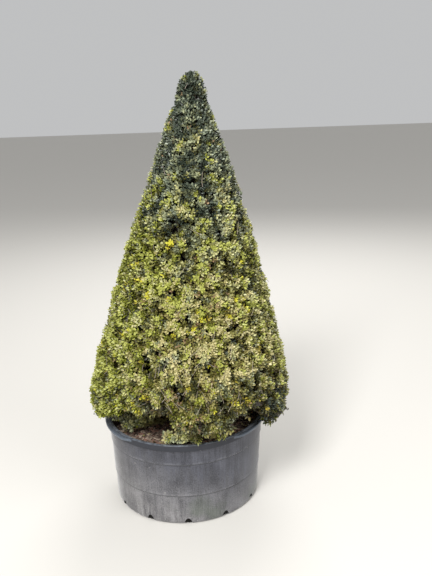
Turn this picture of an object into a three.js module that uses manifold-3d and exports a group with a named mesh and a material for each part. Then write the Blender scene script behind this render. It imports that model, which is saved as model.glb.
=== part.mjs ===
// A clipped boxwood cone growing in a low nursery pot.
// Millimetres, +Z up. The origin is the centre of the pot's flat underside, and the
// side of the plant that people see first faces -Y.
import * as THREE from "three";
import { mergeVertices } from "three/addons/utils/BufferGeometryUtils.js";
import Module from "manifold-3d";

const wasm = await Module();
wasm.setup();

// Gap kept between two pieces that touch, so that no two solids overlap.
const CONTACT_GAP = 0.3;
// Vertices closer than this are one.
const MERGE_TOLERANCE = 1e-3;

// The pot: a moulded tub whose wall steps in twice on its way down.
const POT_HEIGHT = 357;
const POT_BASE_RADIUS = 305;
const POT_MOUTH_RADIUS = 318;
const POT_WALL = 5;
const POT_FLOOR = 6;
const POT_FOOT_ROUNDING = 14;
const POT_STEP_HEIGHTS = [130, 270];
const POT_STEP_DEPTH = 2.5;
const POT_STEP_SLOPE = 3;
const POT_SEGMENTS = 40;
const POT_FOOT_STEPS = 2;
const COLLAR_HEIGHT = 26;
const COLLAR_OUT = 5;
const COLLAR_SLOPE = 3;
const LIP_ROUNDING = 3;
const LIP_STEPS = 1;
const HANDLE_OUT = 13;
const HANDLE_THICKNESS = 13;
const HANDLE_ARC = THREE.MathUtils.degToRad(96);
const HANDLE_SIDES = [0, Math.PI];
const HANDLE_SEGMENTS = 12;
const DRAIN_HOLES = 12;
const DRAIN_FIRST = THREE.MathUtils.degToRad(2);
const DRAIN_WIDTH = 22;
const DRAIN_HEIGHT = 11;
const DRAIN_RUN = 29;
const DRAIN_PROUD = 4;
const DRAIN_SIDES = 8;

// The potting mix fills the pot to just under its lip and heaps a little round the trunk.
const SOIL_EDGE_HEIGHT = 334;
const SOIL_CROWN_HEIGHT = 346;
const SOIL_FLAT_RADIUS = 60;
const SOIL_SHOULDER_SHARE = 0.6;
const SOIL_WALL_GAP = 0.7;
const SOIL_SEGMENTS = 20;

// The crown's outline: widest just above the pot, then a slightly bulging cone to a blunt tip.
const CROWN_TOP = 1730;
const CROWN_RADIUS = 421;
const CROWN_WIDEST_HEIGHT = 470;
const CROWN_HEM_HEIGHT = 322;
const CROWN_HEM_TUCK = 62;
const CONE_BULGE = 1.15;
const CONE_TAPER = 0.84;
const TIP_CAP_HEIGHT = 130;
const TIP_CAP_RADIUS = 62;

// The whole plant leans a little towards +X.
const AXIS_OFFSET = 24;
const LEAN = 0.046;

// All along the viewer's side the hem ends above the pot's lip, and elsewhere it droops past it.
const HEM_FRONT_AZIMUTH = THREE.MathUtils.degToRad(-97);
const HEM_FRONT_HALF_WIDTH = THREE.MathUtils.degToRad(84);
const HEM_FRONT_FADE = THREE.MathUtils.degToRad(24);
const HEM_FRONT_RISE = 84;
// The share of that rise that the lowest row of twigs follows.
const HEM_FOLLOW = 0.6;

// Trunk and boughs.
const TRUNK_RADIUS = 25;
const TRUNK_FLARE = 17;
const TRUNK_FLARE_HEIGHT = 70;
const TRUNK_TOP = 1440;
const TRUNK_TOP_RADIUS = 6;
const TRUNK_SIDES = 10;
const TRUNK_TAPER_POWER = 0.8;
// Heights of the trunk's rings, as shares of its flare and of its length above that.
const TRUNK_FLARE_RINGS = [0, 0.25, 0.6, 1];
const TRUNK_RINGS = [0.25, 0.5, 0.75, 1];
const BOUGH_SIDES = 5;
const BOUGH_STEPS = 4;
const BOUGH_TAPER = 0.6;
// A bough ends this far short of its mass's inner face, at this share of the mass's height.
const BOUGH_END_GAP = 8;
const BOUGH_END_SHARE = 0.42;
// It bends at these shares of the way out and up.
const BOUGH_BEND_OUT = 0.35;
const BOUGH_BEND_UP = 0.75;
// Neighbouring boughs fork off the trunk at staggered heights.
const FORK_STAGGER = 9;
const FORK_STAGGER_STEPS = 3;
const STEM_TAPER = 0.35;
const STEM_REACH = 60;

// Foliage: leafy twigs that stand out of a dense core. Each leaf stands for a spray of small ones.
const LEAF_ZONE = 64;
const CORE_LEAST_SHARE = 0.74;
const CORE_LUMPS = 4.5;
// Two waves that run round the core and up it: ripples a turn, and millimetres a radian.
const CORE_WAVES = [
  { round: 5, rise: 61 },
  { round: 3, rise: -97 },
];
const CORE_SEGMENTS = 24;
const CORE_RINGS = 4;
const TWIG_SPACING = 116;
const TWIG_RADIUS = 5;
const TWIG_SIDES = 3;
const TWIG_JITTER = 0.16;
const ROW_STAGGER = 0.18;
const TWIG_SINK = 30;
const TIP_MARGIN = 56;
const LEAF_LENGTH = 80;
const LEAF_WIDTH = 46;
const LEAF_THICKNESS = 6;
const LEAF_SINK = 8;
const LEAF_SCALE_AT_HEM = 1.15;
const LEAF_SCALE_AT_TIP = 0.62;
const LEAF_PAIRS = [
  { behindTip: 0, spread: THREE.MathUtils.degToRad(36) },
  { behindTip: 24, spread: THREE.MathUtils.degToRad(64) },
];
const LEADER_PAIRS = [
  { behindTip: 0, spread: THREE.MathUtils.degToRad(7) },
  { behindTip: 26, spread: THREE.MathUtils.degToRad(24) },
];
const ROLLS_TRIED = 6;
const LEAST_TWIG = 18;
// How far a twig turns from the line of its mass's stem to a line square to the outline.
const SQUARE_SHARE = 0.65;
// The rows of twigs are spread a little, to bring leaves nearer to a mass's edges.
const EDGE_STRETCH = 1.07;
const OUTLINE_SLACK = 10;
const MASS_MARGIN = 0.4;
const TRUNK_CLEARANCE = 6;
const POT_CLEARANCE = 3;
const SKIRT_CORE_CLEARANCE = 22;

// Tiers of the crown, from the ground up. Each sector of a tier is one mass on its own bough.
const TIERS = [
  {
    name: "skirt",
    seed: 120,
    hem: true,
    sectors: 6,
    turn: 0,
    from: CROWN_HEM_HEIGHT,
    to: 700,
    hollow: 165,
    forkHeight: 402,
    boughRadius: 13,
  },
  {
    name: "middle",
    seed: 200,
    hem: false,
    sectors: 5,
    turn: 0.35,
    from: 700,
    to: 1080,
    hollow: 100,
    forkHeight: 640,
    boughRadius: 10,
  },
  {
    name: "upper",
    seed: 300,
    hem: false,
    sectors: 3,
    turn: 0.9,
    from: 1080,
    to: 1400,
    hollow: 48,
    forkHeight: 1020,
    boughRadius: 8,
  },
];
const TIP_FROM = 1400;
const TIP_SEED = 400;

const MATERIALS = {
  pot: new THREE.MeshStandardMaterial({ color: "#6a6a6b", roughness: 0.7, metalness: 0 }),
  soil: new THREE.MeshStandardMaterial({ color: "#5b4438", roughness: 1, metalness: 0 }),
  bark: new THREE.MeshStandardMaterial({ color: "#8a7b66", roughness: 0.95, metalness: 0 }),
  foliage: new THREE.MeshStandardMaterial({ color: "#7f8c35", roughness: 0.55, metalness: 0 }),
};

// A small seeded generator, so that the plant is the same each time.
function seededRandom(seed) {
  let state = seed >>> 0;
  return () => {
    state = (state + 0x6d2b79f5) >>> 0;
    let mixed = Math.imul(state ^ (state >>> 15), state | 1);
    mixed = (mixed + Math.imul(mixed ^ (mixed >>> 7), mixed | 61)) ^ mixed;
    return ((mixed ^ (mixed >>> 14)) >>> 0) / 4294967296;
  };
}

// Solids and geometries
function solidOf(geometry) {
  const bare = geometry.clone();
  bare.deleteAttribute("normal");
  bare.deleteAttribute("uv");
  const merged = mergeVertices(bare, MERGE_TOLERANCE);
  return new wasm.Manifold(
    new wasm.Mesh({
      numProp: 3,
      vertProperties: merged.attributes.position.array,
      triVerts: new Uint32Array(merged.index.array),
    }),
  );
}

function geometryOf(solid) {
  const mesh = solid.getMesh();
  const geometry = new THREE.BufferGeometry();
  geometry.setAttribute("position", new THREE.BufferAttribute(mesh.vertProperties, 3));
  geometry.setIndex(new THREE.BufferAttribute(mesh.triVerts, 1));
  geometry.computeVertexNormals();
  return geometry;
}

// Joins solids into one body: a sealed hollow is filled and a loose scrap is dropped.
function fused(solids) {
  const joined = wasm.Manifold.union(solids);
  return joined.decompose().reduce((most, body) => (body.volume() > most.volume() ? body : most));
}

function lathe(profile, segments) {
  const points = profile.map(([radius, height]) => new THREE.Vector2(radius, height));
  return new THREE.LatheGeometry(points, segments).rotateX(Math.PI / 2);
}

function polar(azimuth, radius, height) {
  return new THREE.Vector3(radius * Math.cos(azimuth), radius * Math.sin(azimuth), height);
}

// The plant is built upright round the Z axis, and each horizontal slice is then shifted.
// A sense of -1 undoes the shift.
function leaned(geometry, sense = 1) {
  const position = geometry.attributes.position;
  for (let i = 0; i < position.count; i++) {
    const shift = AXIS_OFFSET + LEAN * (position.getZ(i) - SOIL_CROWN_HEIGHT);
    position.setX(i, position.getX(i) + sense * shift);
  }
  return geometry;
}

// Crown outline
function crownRadius(height) {
  if (height < CROWN_WIDEST_HEIGHT) {
    const drop = (CROWN_WIDEST_HEIGHT - height) / (CROWN_WIDEST_HEIGHT - CROWN_HEM_HEIGHT);
    return CROWN_RADIUS - CROWN_HEM_TUCK * drop ** 2;
  }
  const rise = Math.min(1, (height - CROWN_WIDEST_HEIGHT) / (CROWN_TOP - CROWN_WIDEST_HEIGHT));
  const cone = CROWN_RADIUS * (1 - rise ** CONE_BULGE) ** CONE_TAPER;
  const capRise = Math.min(1, (height - CROWN_TOP) / TIP_CAP_HEIGHT + 1);
  const cap = capRise > 0 ? TIP_CAP_RADIUS * Math.sqrt(1 - capRise ** 2) : 0;
  return Math.max(cone, cap);
}

// The sprays that the leaves stand for are finer where the crown is narrower.
function leafScaleAt(height) {
  return THREE.MathUtils.lerp(LEAF_SCALE_AT_TIP, LEAF_SCALE_AT_HEM, crownRadius(height) / CROWN_RADIUS);
}

function coreRadius(height) {
  const outline = crownRadius(height);
  return Math.max(outline - LEAF_ZONE * leafScaleAt(height), outline * CORE_LEAST_SHARE);
}

function angleBetween(a, b) {
  return Math.abs(Math.atan2(Math.sin(a - b), Math.cos(a - b)));
}

function hemRise(azimuth) {
  const inside = HEM_FRONT_HALF_WIDTH - angleBetween(azimuth, HEM_FRONT_AZIMUTH);
  return HEM_FRONT_RISE * THREE.MathUtils.smoothstep(inside, 0, HEM_FRONT_FADE);
}

// Pot
function potWallRadius(height) {
  const share = height / POT_HEIGHT;
  const taper = POT_BASE_RADIUS + (POT_MOUTH_RADIUS - POT_BASE_RADIUS) * share;
  const stepsAbove = POT_STEP_HEIGHTS.filter((step) => height < step).length;
  return taper - POT_STEP_DEPTH * (stepsAbove - 1);
}

function potInnerRadius(height) {
  const share = height / POT_HEIGHT;
  const innerBase = POT_BASE_RADIUS - POT_STEP_DEPTH - POT_WALL;
  const innerMouth = POT_MOUTH_RADIUS - POT_WALL;
  return innerBase + (innerMouth - innerBase) * share;
}

function roundedCorner(centreRadius, centreHeight, rounding, fromDegrees, toDegrees, steps) {
  const arc = new THREE.ArcCurve(
    centreRadius,
    centreHeight,
    rounding,
    THREE.MathUtils.degToRad(fromDegrees),
    THREE.MathUtils.degToRad(toDegrees),
    fromDegrees > toDegrees,
  );
  return arc.getPoints(steps).map((point) => [point.x, point.y]);
}

function potProfile() {
  const collarBase = POT_HEIGHT - COLLAR_HEIGHT;
  const lipBase = POT_HEIGHT - LIP_ROUNDING;
  const collarRadius = potWallRadius(POT_HEIGHT) + COLLAR_OUT;
  const footRadius = potWallRadius(0) - POT_FOOT_ROUNDING;
  const wallSteps = POT_STEP_HEIGHTS.flatMap((step) => [
    [potWallRadius(step - POT_STEP_SLOPE / 2), step - POT_STEP_SLOPE / 2],
    [potWallRadius(step + POT_STEP_SLOPE / 2), step + POT_STEP_SLOPE / 2],
  ]);
  return [
    [0, 0],
    ...roundedCorner(footRadius, POT_FOOT_ROUNDING, POT_FOOT_ROUNDING, -90, 0, POT_FOOT_STEPS),
    ...wallSteps,
    [potWallRadius(collarBase), collarBase],
    [collarRadius, collarBase + COLLAR_SLOPE],
    ...roundedCorner(collarRadius - LIP_ROUNDING, lipBase, LIP_ROUNDING, 0, 90, LIP_STEPS),
    [potInnerRadius(POT_HEIGHT), POT_HEIGHT],
    [potInnerRadius(POT_FLOOR), POT_FLOOR],
    [0, POT_FLOOR],
  ];
}

// A rolled flange to lift the pot by, round part of the lip.
function handleFlange(side) {
  const inner = potWallRadius(POT_HEIGHT);
  const outer = inner + COLLAR_OUT + HANDLE_OUT;
  const shape = new THREE.Shape();
  shape.absarc(0, 0, outer, side - HANDLE_ARC / 2, side + HANDLE_ARC / 2, false);
  shape.absarc(0, 0, inner, side + HANDLE_ARC / 2, side - HANDLE_ARC / 2, true);
  return new THREE.ExtrudeGeometry(shape, {
    depth: HANDLE_THICKNESS - LIP_ROUNDING,
    bevelEnabled: false,
    curveSegments: HANDLE_SEGMENTS,
  }).translate(0, 0, POT_HEIGHT - HANDLE_THICKNESS);
}

// An arched notch through the foot of the wall, to let water out.
function drainNotch(index) {
  const azimuth = DRAIN_FIRST + (index / DRAIN_HOLES) * 2 * Math.PI;
  const notch = new THREE.CylinderGeometry(DRAIN_WIDTH / 2, DRAIN_WIDTH / 2, DRAIN_RUN, DRAIN_SIDES)
    .scale(1, 1, DRAIN_HEIGHT / (DRAIN_WIDTH / 2))
    .rotateZ(Math.PI / 2)
    .translate(POT_BASE_RADIUS + DRAIN_PROUD - DRAIN_RUN / 2, 0, 0)
    .rotateZ(azimuth);
  return solidOf(notch);
}

function potGeometry() {
  const shell = solidOf(lathe(potProfile(), POT_SEGMENTS));
  const flanges = HANDLE_SIDES.map((side) => solidOf(handleFlange(side)));
  const notches = Array.from({ length: DRAIN_HOLES }, (_, index) => drainNotch(index));
  return geometryOf(fused([shell, ...flanges]).subtract(wasm.Manifold.union(notches)));
}

function soilGeometry() {
  const bottom = POT_FLOOR + CONTACT_GAP;
  const profile = [
    [0, bottom],
    [potInnerRadius(bottom) - SOIL_WALL_GAP, bottom],
    [potInnerRadius(SOIL_EDGE_HEIGHT) - SOIL_WALL_GAP, SOIL_EDGE_HEIGHT],
    [potInnerRadius(SOIL_EDGE_HEIGHT) * SOIL_SHOULDER_SHARE, (SOIL_EDGE_HEIGHT + SOIL_CROWN_HEIGHT) / 2],
    [SOIL_FLAT_RADIUS, SOIL_CROWN_HEIGHT],
    [0, SOIL_CROWN_HEIGHT],
  ];
  return geometryOf(solidOf(lathe(profile, SOIL_SEGMENTS)));
}

// The pot and its filling grown by a clearance, which foliage must not enter.
function potKeepOut() {
  const outside = potWallRadius(POT_HEIGHT) + COLLAR_OUT + HANDLE_OUT + POT_CLEARANCE;
  const mouth = potInnerRadius(POT_HEIGHT) - POT_CLEARANCE;
  const profile = [
    [0, 0],
    [outside, 0],
    [outside, POT_HEIGHT + POT_CLEARANCE],
    [mouth, POT_HEIGHT + POT_CLEARANCE],
    [mouth, SOIL_CROWN_HEIGHT + POT_CLEARANCE],
    [0, SOIL_CROWN_HEIGHT + POT_CLEARANCE],
  ];
  return solidOf(leaned(lathe(profile, POT_SEGMENTS), -1));
}

// Trunk and boughs
function trunkRadius(height) {
  const foot = SOIL_CROWN_HEIGHT + CONTACT_GAP;
  const share = (height - foot) / (TRUNK_TOP - foot);
  const taper = TRUNK_RADIUS + (TRUNK_TOP_RADIUS - TRUNK_RADIUS) * share ** TRUNK_TAPER_POWER;
  const flare = Math.max(0, 1 - (height - foot) / TRUNK_FLARE_HEIGHT);
  return taper + TRUNK_FLARE * flare ** 2;
}

// The trunk's solid, or the same grown by the contact gap, to cut its neighbours clear of it.
function trunkSolid(growth = 0) {
  const foot = SOIL_CROWN_HEIGHT + CONTACT_GAP;
  const flareTop = foot + TRUNK_FLARE_HEIGHT;
  const flareHeights = TRUNK_FLARE_RINGS.map((share) => THREE.MathUtils.lerp(foot, flareTop, share));
  const upperHeights = TRUNK_RINGS.map((share) => THREE.MathUtils.lerp(flareTop, TRUNK_TOP, share));
  const heights = [...flareHeights, ...upperHeights];
  const side = heights.map((height) => [trunkRadius(height) + growth, height]);
  side[0][1] -= growth;
  side[side.length - 1][1] += growth;
  return solidOf(lathe([[0, side[0][1]], ...side, [0, side[side.length - 1][1]]], TRUNK_SIDES));
}

// A closed tapering limb of straight-sided rings along a curve.
function limbGeometry(curve, startRadius, endRadius, sides, steps) {
  const frames = curve.computeFrenetFrames(steps, false);
  const points = [];
  for (let step = 0; step <= steps; step++) {
    const centre = curve.getPointAt(step / steps);
    const radius = THREE.MathUtils.lerp(startRadius, endRadius, step / steps);
    for (let side = 0; side < sides; side++) {
      const angle = (side / sides) * 2 * Math.PI;
      points.push(
        centre
          .clone()
          .addScaledVector(frames.normals[step], radius * Math.cos(angle))
          .addScaledVector(frames.binormals[step], radius * Math.sin(angle)),
      );
    }
  }
  const index = [];
  for (let step = 0; step < steps; step++) {
    for (let side = 0; side < sides; side++) {
      const a = step * sides + side;
      const b = step * sides + ((side + 1) % sides);
      index.push(a, b, a + sides, b, b + sides, a + sides);
    }
  }
  for (let side = 1; side < sides - 1; side++) {
    const last = steps * sides;
    index.push(0, side + 1, side, last, last + side, last + side + 1);
  }
  return new THREE.BufferGeometry().setFromPoints(points).setIndex(index);
}

function sectorAzimuth(tier, sector) {
  return tier.turn + ((sector + 0.5) / tier.sectors) * 2 * Math.PI;
}

// A bough leaves the trunk at its fork, bends up and ends where it enters its mass.
function boughCurve(tier, sector) {
  const azimuth = sectorAzimuth(tier, sector);
  const endHeight = THREE.MathUtils.lerp(tier.from, tier.to, BOUGH_END_SHARE);
  const forkHeight = tier.forkHeight + FORK_STAGGER * (sector % FORK_STAGGER_STEPS);
  const bendHeight = THREE.MathUtils.lerp(forkHeight, endHeight, BOUGH_BEND_UP);
  const start = polar(azimuth, 0, forkHeight);
  const bend = polar(azimuth, tier.hollow * BOUGH_BEND_OUT, bendHeight);
  const end = polar(azimuth, tier.hollow - BOUGH_END_GAP, endHeight);
  return new THREE.QuadraticBezierCurve3(start, bend, end);
}

function boughSolid(tier, sector, keepOut) {
  const curve = boughCurve(tier, sector);
  const endRadius = tier.boughRadius * BOUGH_TAPER;
  const limb = limbGeometry(curve, tier.boughRadius, endRadius, BOUGH_SIDES, BOUGH_STEPS);
  return fused([solidOf(limb).subtract(keepOut)]);
}

// Foliage
function sectorPrism(azimuth, width, low, high) {
  const apex = MASS_MARGIN / Math.sin(width / 2);
  const far = CROWN_RADIUS * 3;
  const corners = [
    polar(azimuth, apex, 0),
    polar(azimuth, apex, 0).add(polar(azimuth - width / 2, far, 0)),
    polar(azimuth, apex, 0).add(polar(azimuth + width / 2, far, 0)),
  ];
  const shape = new THREE.Shape(corners.map((corner) => new THREE.Vector2(corner.x, corner.y)));
  return solidOf(
    new THREE.ExtrudeGeometry(shape, { depth: high - low, bevelEnabled: false }).translate(0, 0, low),
  );
}

function coreProfile(low, high, hollow) {
  const side = Array.from({ length: CORE_RINGS + 1 }, (_, ring) => {
    const height = THREE.MathUtils.lerp(low, high, ring / CORE_RINGS);
    return [coreRadius(height), height];
  });
  const bottom = [hollow, low];
  return [bottom, ...side, [hollow, high], ...(hollow > 0 ? [bottom] : [])];
}

function alongFrom(start, direction, geometry, length) {
  const turn = new THREE.Quaternion().setFromUnitVectors(new THREE.Vector3(0, 1, 0), direction);
  return geometry
    .translate(0, length / 2, 0)
    .applyQuaternion(turn)
    .translate(start.x, start.y, start.z);
}

// One leaf: a long diamond of eight faces, standing for a spray of small leaves.
function leafGeometry(root, direction, across, scale) {
  const normal = new THREE.Vector3().crossVectors(across, direction).normalize();
  const basis = new THREE.Matrix4().makeBasis(across, direction, normal);
  const halfLength = (scale * LEAF_LENGTH) / 2;
  const centre = root.clone().addScaledVector(direction, halfLength - LEAF_SINK);
  return new THREE.OctahedronGeometry(1)
    .scale((scale * LEAF_WIDTH) / 2, halfLength, LEAF_THICKNESS / 2)
    .applyMatrix4(basis)
    .translate(centre.x, centre.y, centre.z);
}

// Leaves stand in crossed pairs, as on the real twig.
function leavesOnTwig(tip, direction, roll, pairs, scale) {
  const nearlyUpright = Math.abs(direction.z) > 0.9;
  const helper = nearlyUpright ? new THREE.Vector3(1, 0, 0) : new THREE.Vector3(0, 0, 1);
  const sideways = new THREE.Vector3().crossVectors(direction, helper).normalize();
  return pairs.flatMap(({ behindTip, spread }, pair) => {
    const side = sideways.clone().applyAxisAngle(direction, roll + (pair * Math.PI) / 2);
    const across = new THREE.Vector3().crossVectors(direction, side).normalize();
    const root = tip.clone().addScaledVector(direction, -scale * behindTip);
    return [-1, 1].map((sign) => {
      const heading = direction
        .clone()
        .multiplyScalar(Math.cos(spread))
        .addScaledVector(side, sign * Math.sin(spread))
        .normalize();
      return leafGeometry(root, heading, across, scale);
    });
  });
}

function insideSpace(space, point) {
  const radius = Math.hypot(point.x, point.y);
  const azimuth = Math.atan2(point.y, point.x);
  if (radius > crownRadius(point.z) + OUTLINE_SLACK || point.z > space.high) return false;
  if (point.z < space.low(azimuth)) return false;
  if (!space.width) return true;
  const fromMiddle = angleBetween(azimuth, space.azimuth);
  const toWall = radius * Math.sin(space.width / 2 - fromMiddle);
  return fromMiddle < space.width / 2 && toWall > MASS_MARGIN;
}

function fits(space, geometry) {
  const position = geometry.attributes.position;
  const point = new THREE.Vector3();
  for (let i = 0; i < position.count; i++) {
    if (!insideSpace(space, point.fromBufferAttribute(position, i))) return false;
  }
  return solidOf(geometry).intersect(space.keepOut).isEmpty();
}

// Outward normal of the crown's outline.
function outwardAt(azimuth, height) {
  const step = 5;
  const slope = (crownRadius(height + step) - crownRadius(height - step)) / (2 * step);
  return polar(azimuth, 1, -slope).normalize();
}

// The places on the outline that a mass's twigs grow to, a twig spacing apart in level rows.
function twigTargets(space, random) {
  const targets = [];
  const width = space.width || 2 * Math.PI;
  const middle = (space.floor + space.high) / 2;
  const rows = Math.round((space.high - space.floor) / (TWIG_SPACING * leafScaleAt(middle)));
  const rowHeight = (space.high - space.floor) / rows;
  for (let row = 0; row < rows; row++) {
    const height = middle + EDGE_STRETCH * (row + 0.5 - rows / 2) * rowHeight;
    const spacing = TWIG_SPACING * leafScaleAt(height);
    const columns = Math.max(2, Math.round((width * crownRadius(height)) / spacing));
    for (let column = 0; column < columns; column++) {
      const stagger = ROW_STAGGER * (row % 2 ? 1 : -1);
      const place = (column + 0.5 + stagger + (random() - 0.5) * 2 * TWIG_JITTER) / columns - 0.5;
      const across = space.width ? EDGE_STRETCH * place : place;
      const jitter = (random() - 0.5) * 2 * TWIG_JITTER * rowHeight;
      targets.push({ azimuth: space.azimuth + across * width, height: height + jitter });
    }
  }
  return targets;
}

// A twig and its leaves, turned round its own line to the roll that keeps the most leaves.
function dressedTwig(space, { tip, direction, length, pairs, scale }, random) {
  const root = tip.clone().addScaledVector(direction, -length);
  const wood = alongFrom(root, direction, new THREE.ConeGeometry(TWIG_RADIUS, length, TWIG_SIDES), length);
  if (!fits(space, wood)) return [];
  let fullest = [];
  for (let attempt = 0; attempt < ROLLS_TRIED; attempt++) {
    const grown = leavesOnTwig(tip, direction, random() * Math.PI, pairs, scale);
    const leaves = grown.filter((leaf) => fits(space, leaf));
    if (leaves.length > fullest.length) fullest = leaves;
  }
  return [wood, ...fullest];
}

// A twig heads away from the mass's stem and turns square to the outline as it reaches it.
function leafyTwig(space, stem, target, random) {
  const scale = leafScaleAt(target.height);
  const outward = outwardAt(target.azimuth, target.height);
  const onOutline = polar(target.azimuth, crownRadius(target.height), target.height);
  const tip = onOutline.addScaledVector(outward, -TIP_MARGIN * scale);
  const fromStem = tip.clone().sub(stem.at(random())).normalize();
  const direction = fromStem.lerp(outward, SQUARE_SHARE).normalize();
  const toAxis = Math.hypot(tip.x, tip.y) / Math.hypot(direction.x, direction.y);
  const besideTrunk = tip.z < TRUNK_TOP + TRUNK_CLEARANCE;
  const limb = besideTrunk ? trunkRadius(Math.min(tip.z, TRUNK_TOP)) + TRUNK_CLEARANCE : 0;
  const length = Math.min(LEAF_ZONE * scale + TWIG_SINK, toAxis - limb);
  if (length < LEAST_TWIG) return [];
  return dressedTwig(space, { tip, direction, length, pairs: LEAF_PAIRS, scale }, random);
}

// The leader stands upright and carries the crown's topmost leaves.
function leaderTwig(space, random) {
  const scale = LEAF_SCALE_AT_TIP;
  const leafReach = (LEAF_LENGTH * scale - LEAF_SINK) * Math.cos(LEADER_PAIRS[0].spread);
  const tip = new THREE.Vector3(0, 0, space.high - leafReach - MASS_MARGIN);
  const direction = new THREE.Vector3(0, 0, 1);
  const length = LEAF_ZONE * scale + TWIG_SINK;
  return dressedTwig(space, { tip, direction, length, pairs: LEADER_PAIRS, scale }, random);
}

function stemLine(from, direction, length) {
  return { at: (share) => from.clone().addScaledVector(direction, share * length) };
}

function massSolid(space, core, stemFrom, stemDirection, stemRadius, seed) {
  const random = seededRandom(seed);
  const stemStart = stemFrom.clone().addScaledVector(stemDirection, CONTACT_GAP);
  const stemGeometry = alongFrom(
    stemStart,
    stemDirection,
    new THREE.CylinderGeometry(stemRadius * STEM_TAPER, stemRadius, STEM_REACH, BOUGH_SIDES),
    STEM_REACH,
  );
  const stem = stemLine(stemStart, stemDirection, STEM_REACH);
  const targets = twigTargets(space, random);
  const twigs = targets.flatMap((target) => leafyTwig(space, stem, target, random));
  if (space.leader) twigs.push(...leaderTwig(space, random));
  const solids = [stemGeometry, ...twigs].map(solidOf);
  return fused([fused([core, ...solids]).subtract(space.keepOut)]);
}

// Uneven growth makes the core's outer face a little lumpy.
function lumpy(geometry, hollow) {
  const position = geometry.attributes.position;
  for (let i = 0; i < position.count; i++) {
    const radius = Math.hypot(position.getX(i), position.getY(i));
    if (radius > hollow + 1) {
      const azimuth = Math.atan2(position.getY(i), position.getX(i));
      const height = position.getZ(i);
      const waves = CORE_WAVES.map(({ round, rise }) => Math.sin(round * azimuth + height / rise));
      const scale = 1 + (CORE_LUMPS * (waves[0] + waves[1])) / radius;
      position.setXY(i, position.getX(i) * scale, position.getY(i) * scale);
    }
  }
  return geometry;
}

function sectorMass(tier, sector, keepOut) {
  const azimuth = sectorAzimuth(tier, sector);
  const width = (2 * Math.PI) / tier.sectors;
  const low = (at) => tier.from + MASS_MARGIN + (tier.hem ? hemRise(at) : 0);
  const floor = tier.from + (tier.hem ? HEM_FOLLOW * hemRise(azimuth) : 0);
  const high = tier.to - MASS_MARGIN;
  const space = { azimuth, width, low, floor, high, keepOut };
  const coreLow = tier.hem ? Math.max(low(azimuth), POT_HEIGHT + SKIRT_CORE_CLEARANCE) : low(azimuth);
  const profile = coreProfile(coreLow, high, tier.hollow);
  const ring = solidOf(lumpy(lathe(profile, CORE_SEGMENTS), tier.hollow));
  const core = ring.intersect(sectorPrism(azimuth, width, tier.from, tier.to));
  const curve = boughCurve(tier, sector);
  const direction = curve.getTangentAt(1);
  const radius = tier.boughRadius * BOUGH_TAPER;
  return massSolid(space, core, curve.getPointAt(1), direction, radius, tier.seed + sector);
}

function tipMass(keepOut) {
  const low = () => TIP_FROM + MASS_MARGIN;
  const space = {
    azimuth: 0,
    width: 0,
    low,
    floor: TIP_FROM,
    high: CROWN_TOP,
    keepOut,
    leader: true,
  };
  const profile = coreProfile(low(), CROWN_TOP - LEAF_ZONE * LEAF_SCALE_AT_TIP, 0);
  const core = solidOf(lathe(profile, CORE_SEGMENTS / 2));
  const up = new THREE.Vector3(0, 0, 1);
  return massSolid(space, core, new THREE.Vector3(0, 0, TRUNK_TOP), up, TRUNK_TOP_RADIUS, TIP_SEED);
}

function mesh(name, geometry, material) {
  const made = new THREE.Mesh(geometry, material);
  made.name = name;
  return made;
}

function build() {
  const tree = new THREE.Group();
  tree.add(mesh("pot", potGeometry(), MATERIALS.pot));
  tree.add(mesh("potting_mix", soilGeometry(), MATERIALS.soil));
  tree.add(mesh("trunk", leaned(geometryOf(trunkSolid())), MATERIALS.bark));
  const keepOut = trunkSolid(CONTACT_GAP);
  const foliageKeepOut = keepOut.add(potKeepOut());
  for (const tier of TIERS) {
    for (let sector = 0; sector < tier.sectors; sector++) {
      const bough = boughSolid(tier, sector, keepOut);
      const foliage = sectorMass(tier, sector, foliageKeepOut);
      const number = sector + 1;
      tree.add(mesh(`${tier.name}_bough_${number}`, leaned(geometryOf(bough)), MATERIALS.bark));
      tree.add(mesh(`${tier.name}_foliage_${number}`, leaned(geometryOf(foliage)), MATERIALS.foliage));
    }
  }
  const tip = tipMass(keepOut);
  tree.add(mesh("tip_foliage", leaned(geometryOf(tip)), MATERIALS.foliage));
  return tree;
}

export default build();
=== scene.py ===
"""A clipped boxwood cone in a weathered black nursery pot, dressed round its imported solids.

Metres, +Z up, with the origin at the centre of the pot's flat underside. People look at it along +Y.
"""

import functools
import itertools
import math

import bpy
import numpy as np
from mathutils import Matrix, Vector, kdtree


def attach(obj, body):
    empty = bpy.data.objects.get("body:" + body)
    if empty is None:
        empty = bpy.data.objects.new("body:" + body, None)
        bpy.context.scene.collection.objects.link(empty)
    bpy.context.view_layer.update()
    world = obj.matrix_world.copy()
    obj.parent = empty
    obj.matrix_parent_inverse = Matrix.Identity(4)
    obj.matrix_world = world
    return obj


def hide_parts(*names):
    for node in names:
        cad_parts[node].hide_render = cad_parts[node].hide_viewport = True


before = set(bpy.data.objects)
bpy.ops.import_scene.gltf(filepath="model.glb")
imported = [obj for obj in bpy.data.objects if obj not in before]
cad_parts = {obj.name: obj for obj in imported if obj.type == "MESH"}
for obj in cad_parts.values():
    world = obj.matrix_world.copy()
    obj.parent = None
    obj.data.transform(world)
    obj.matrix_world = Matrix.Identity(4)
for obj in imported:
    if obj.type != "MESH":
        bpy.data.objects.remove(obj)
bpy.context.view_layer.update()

TURN = 2 * math.pi

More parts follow.
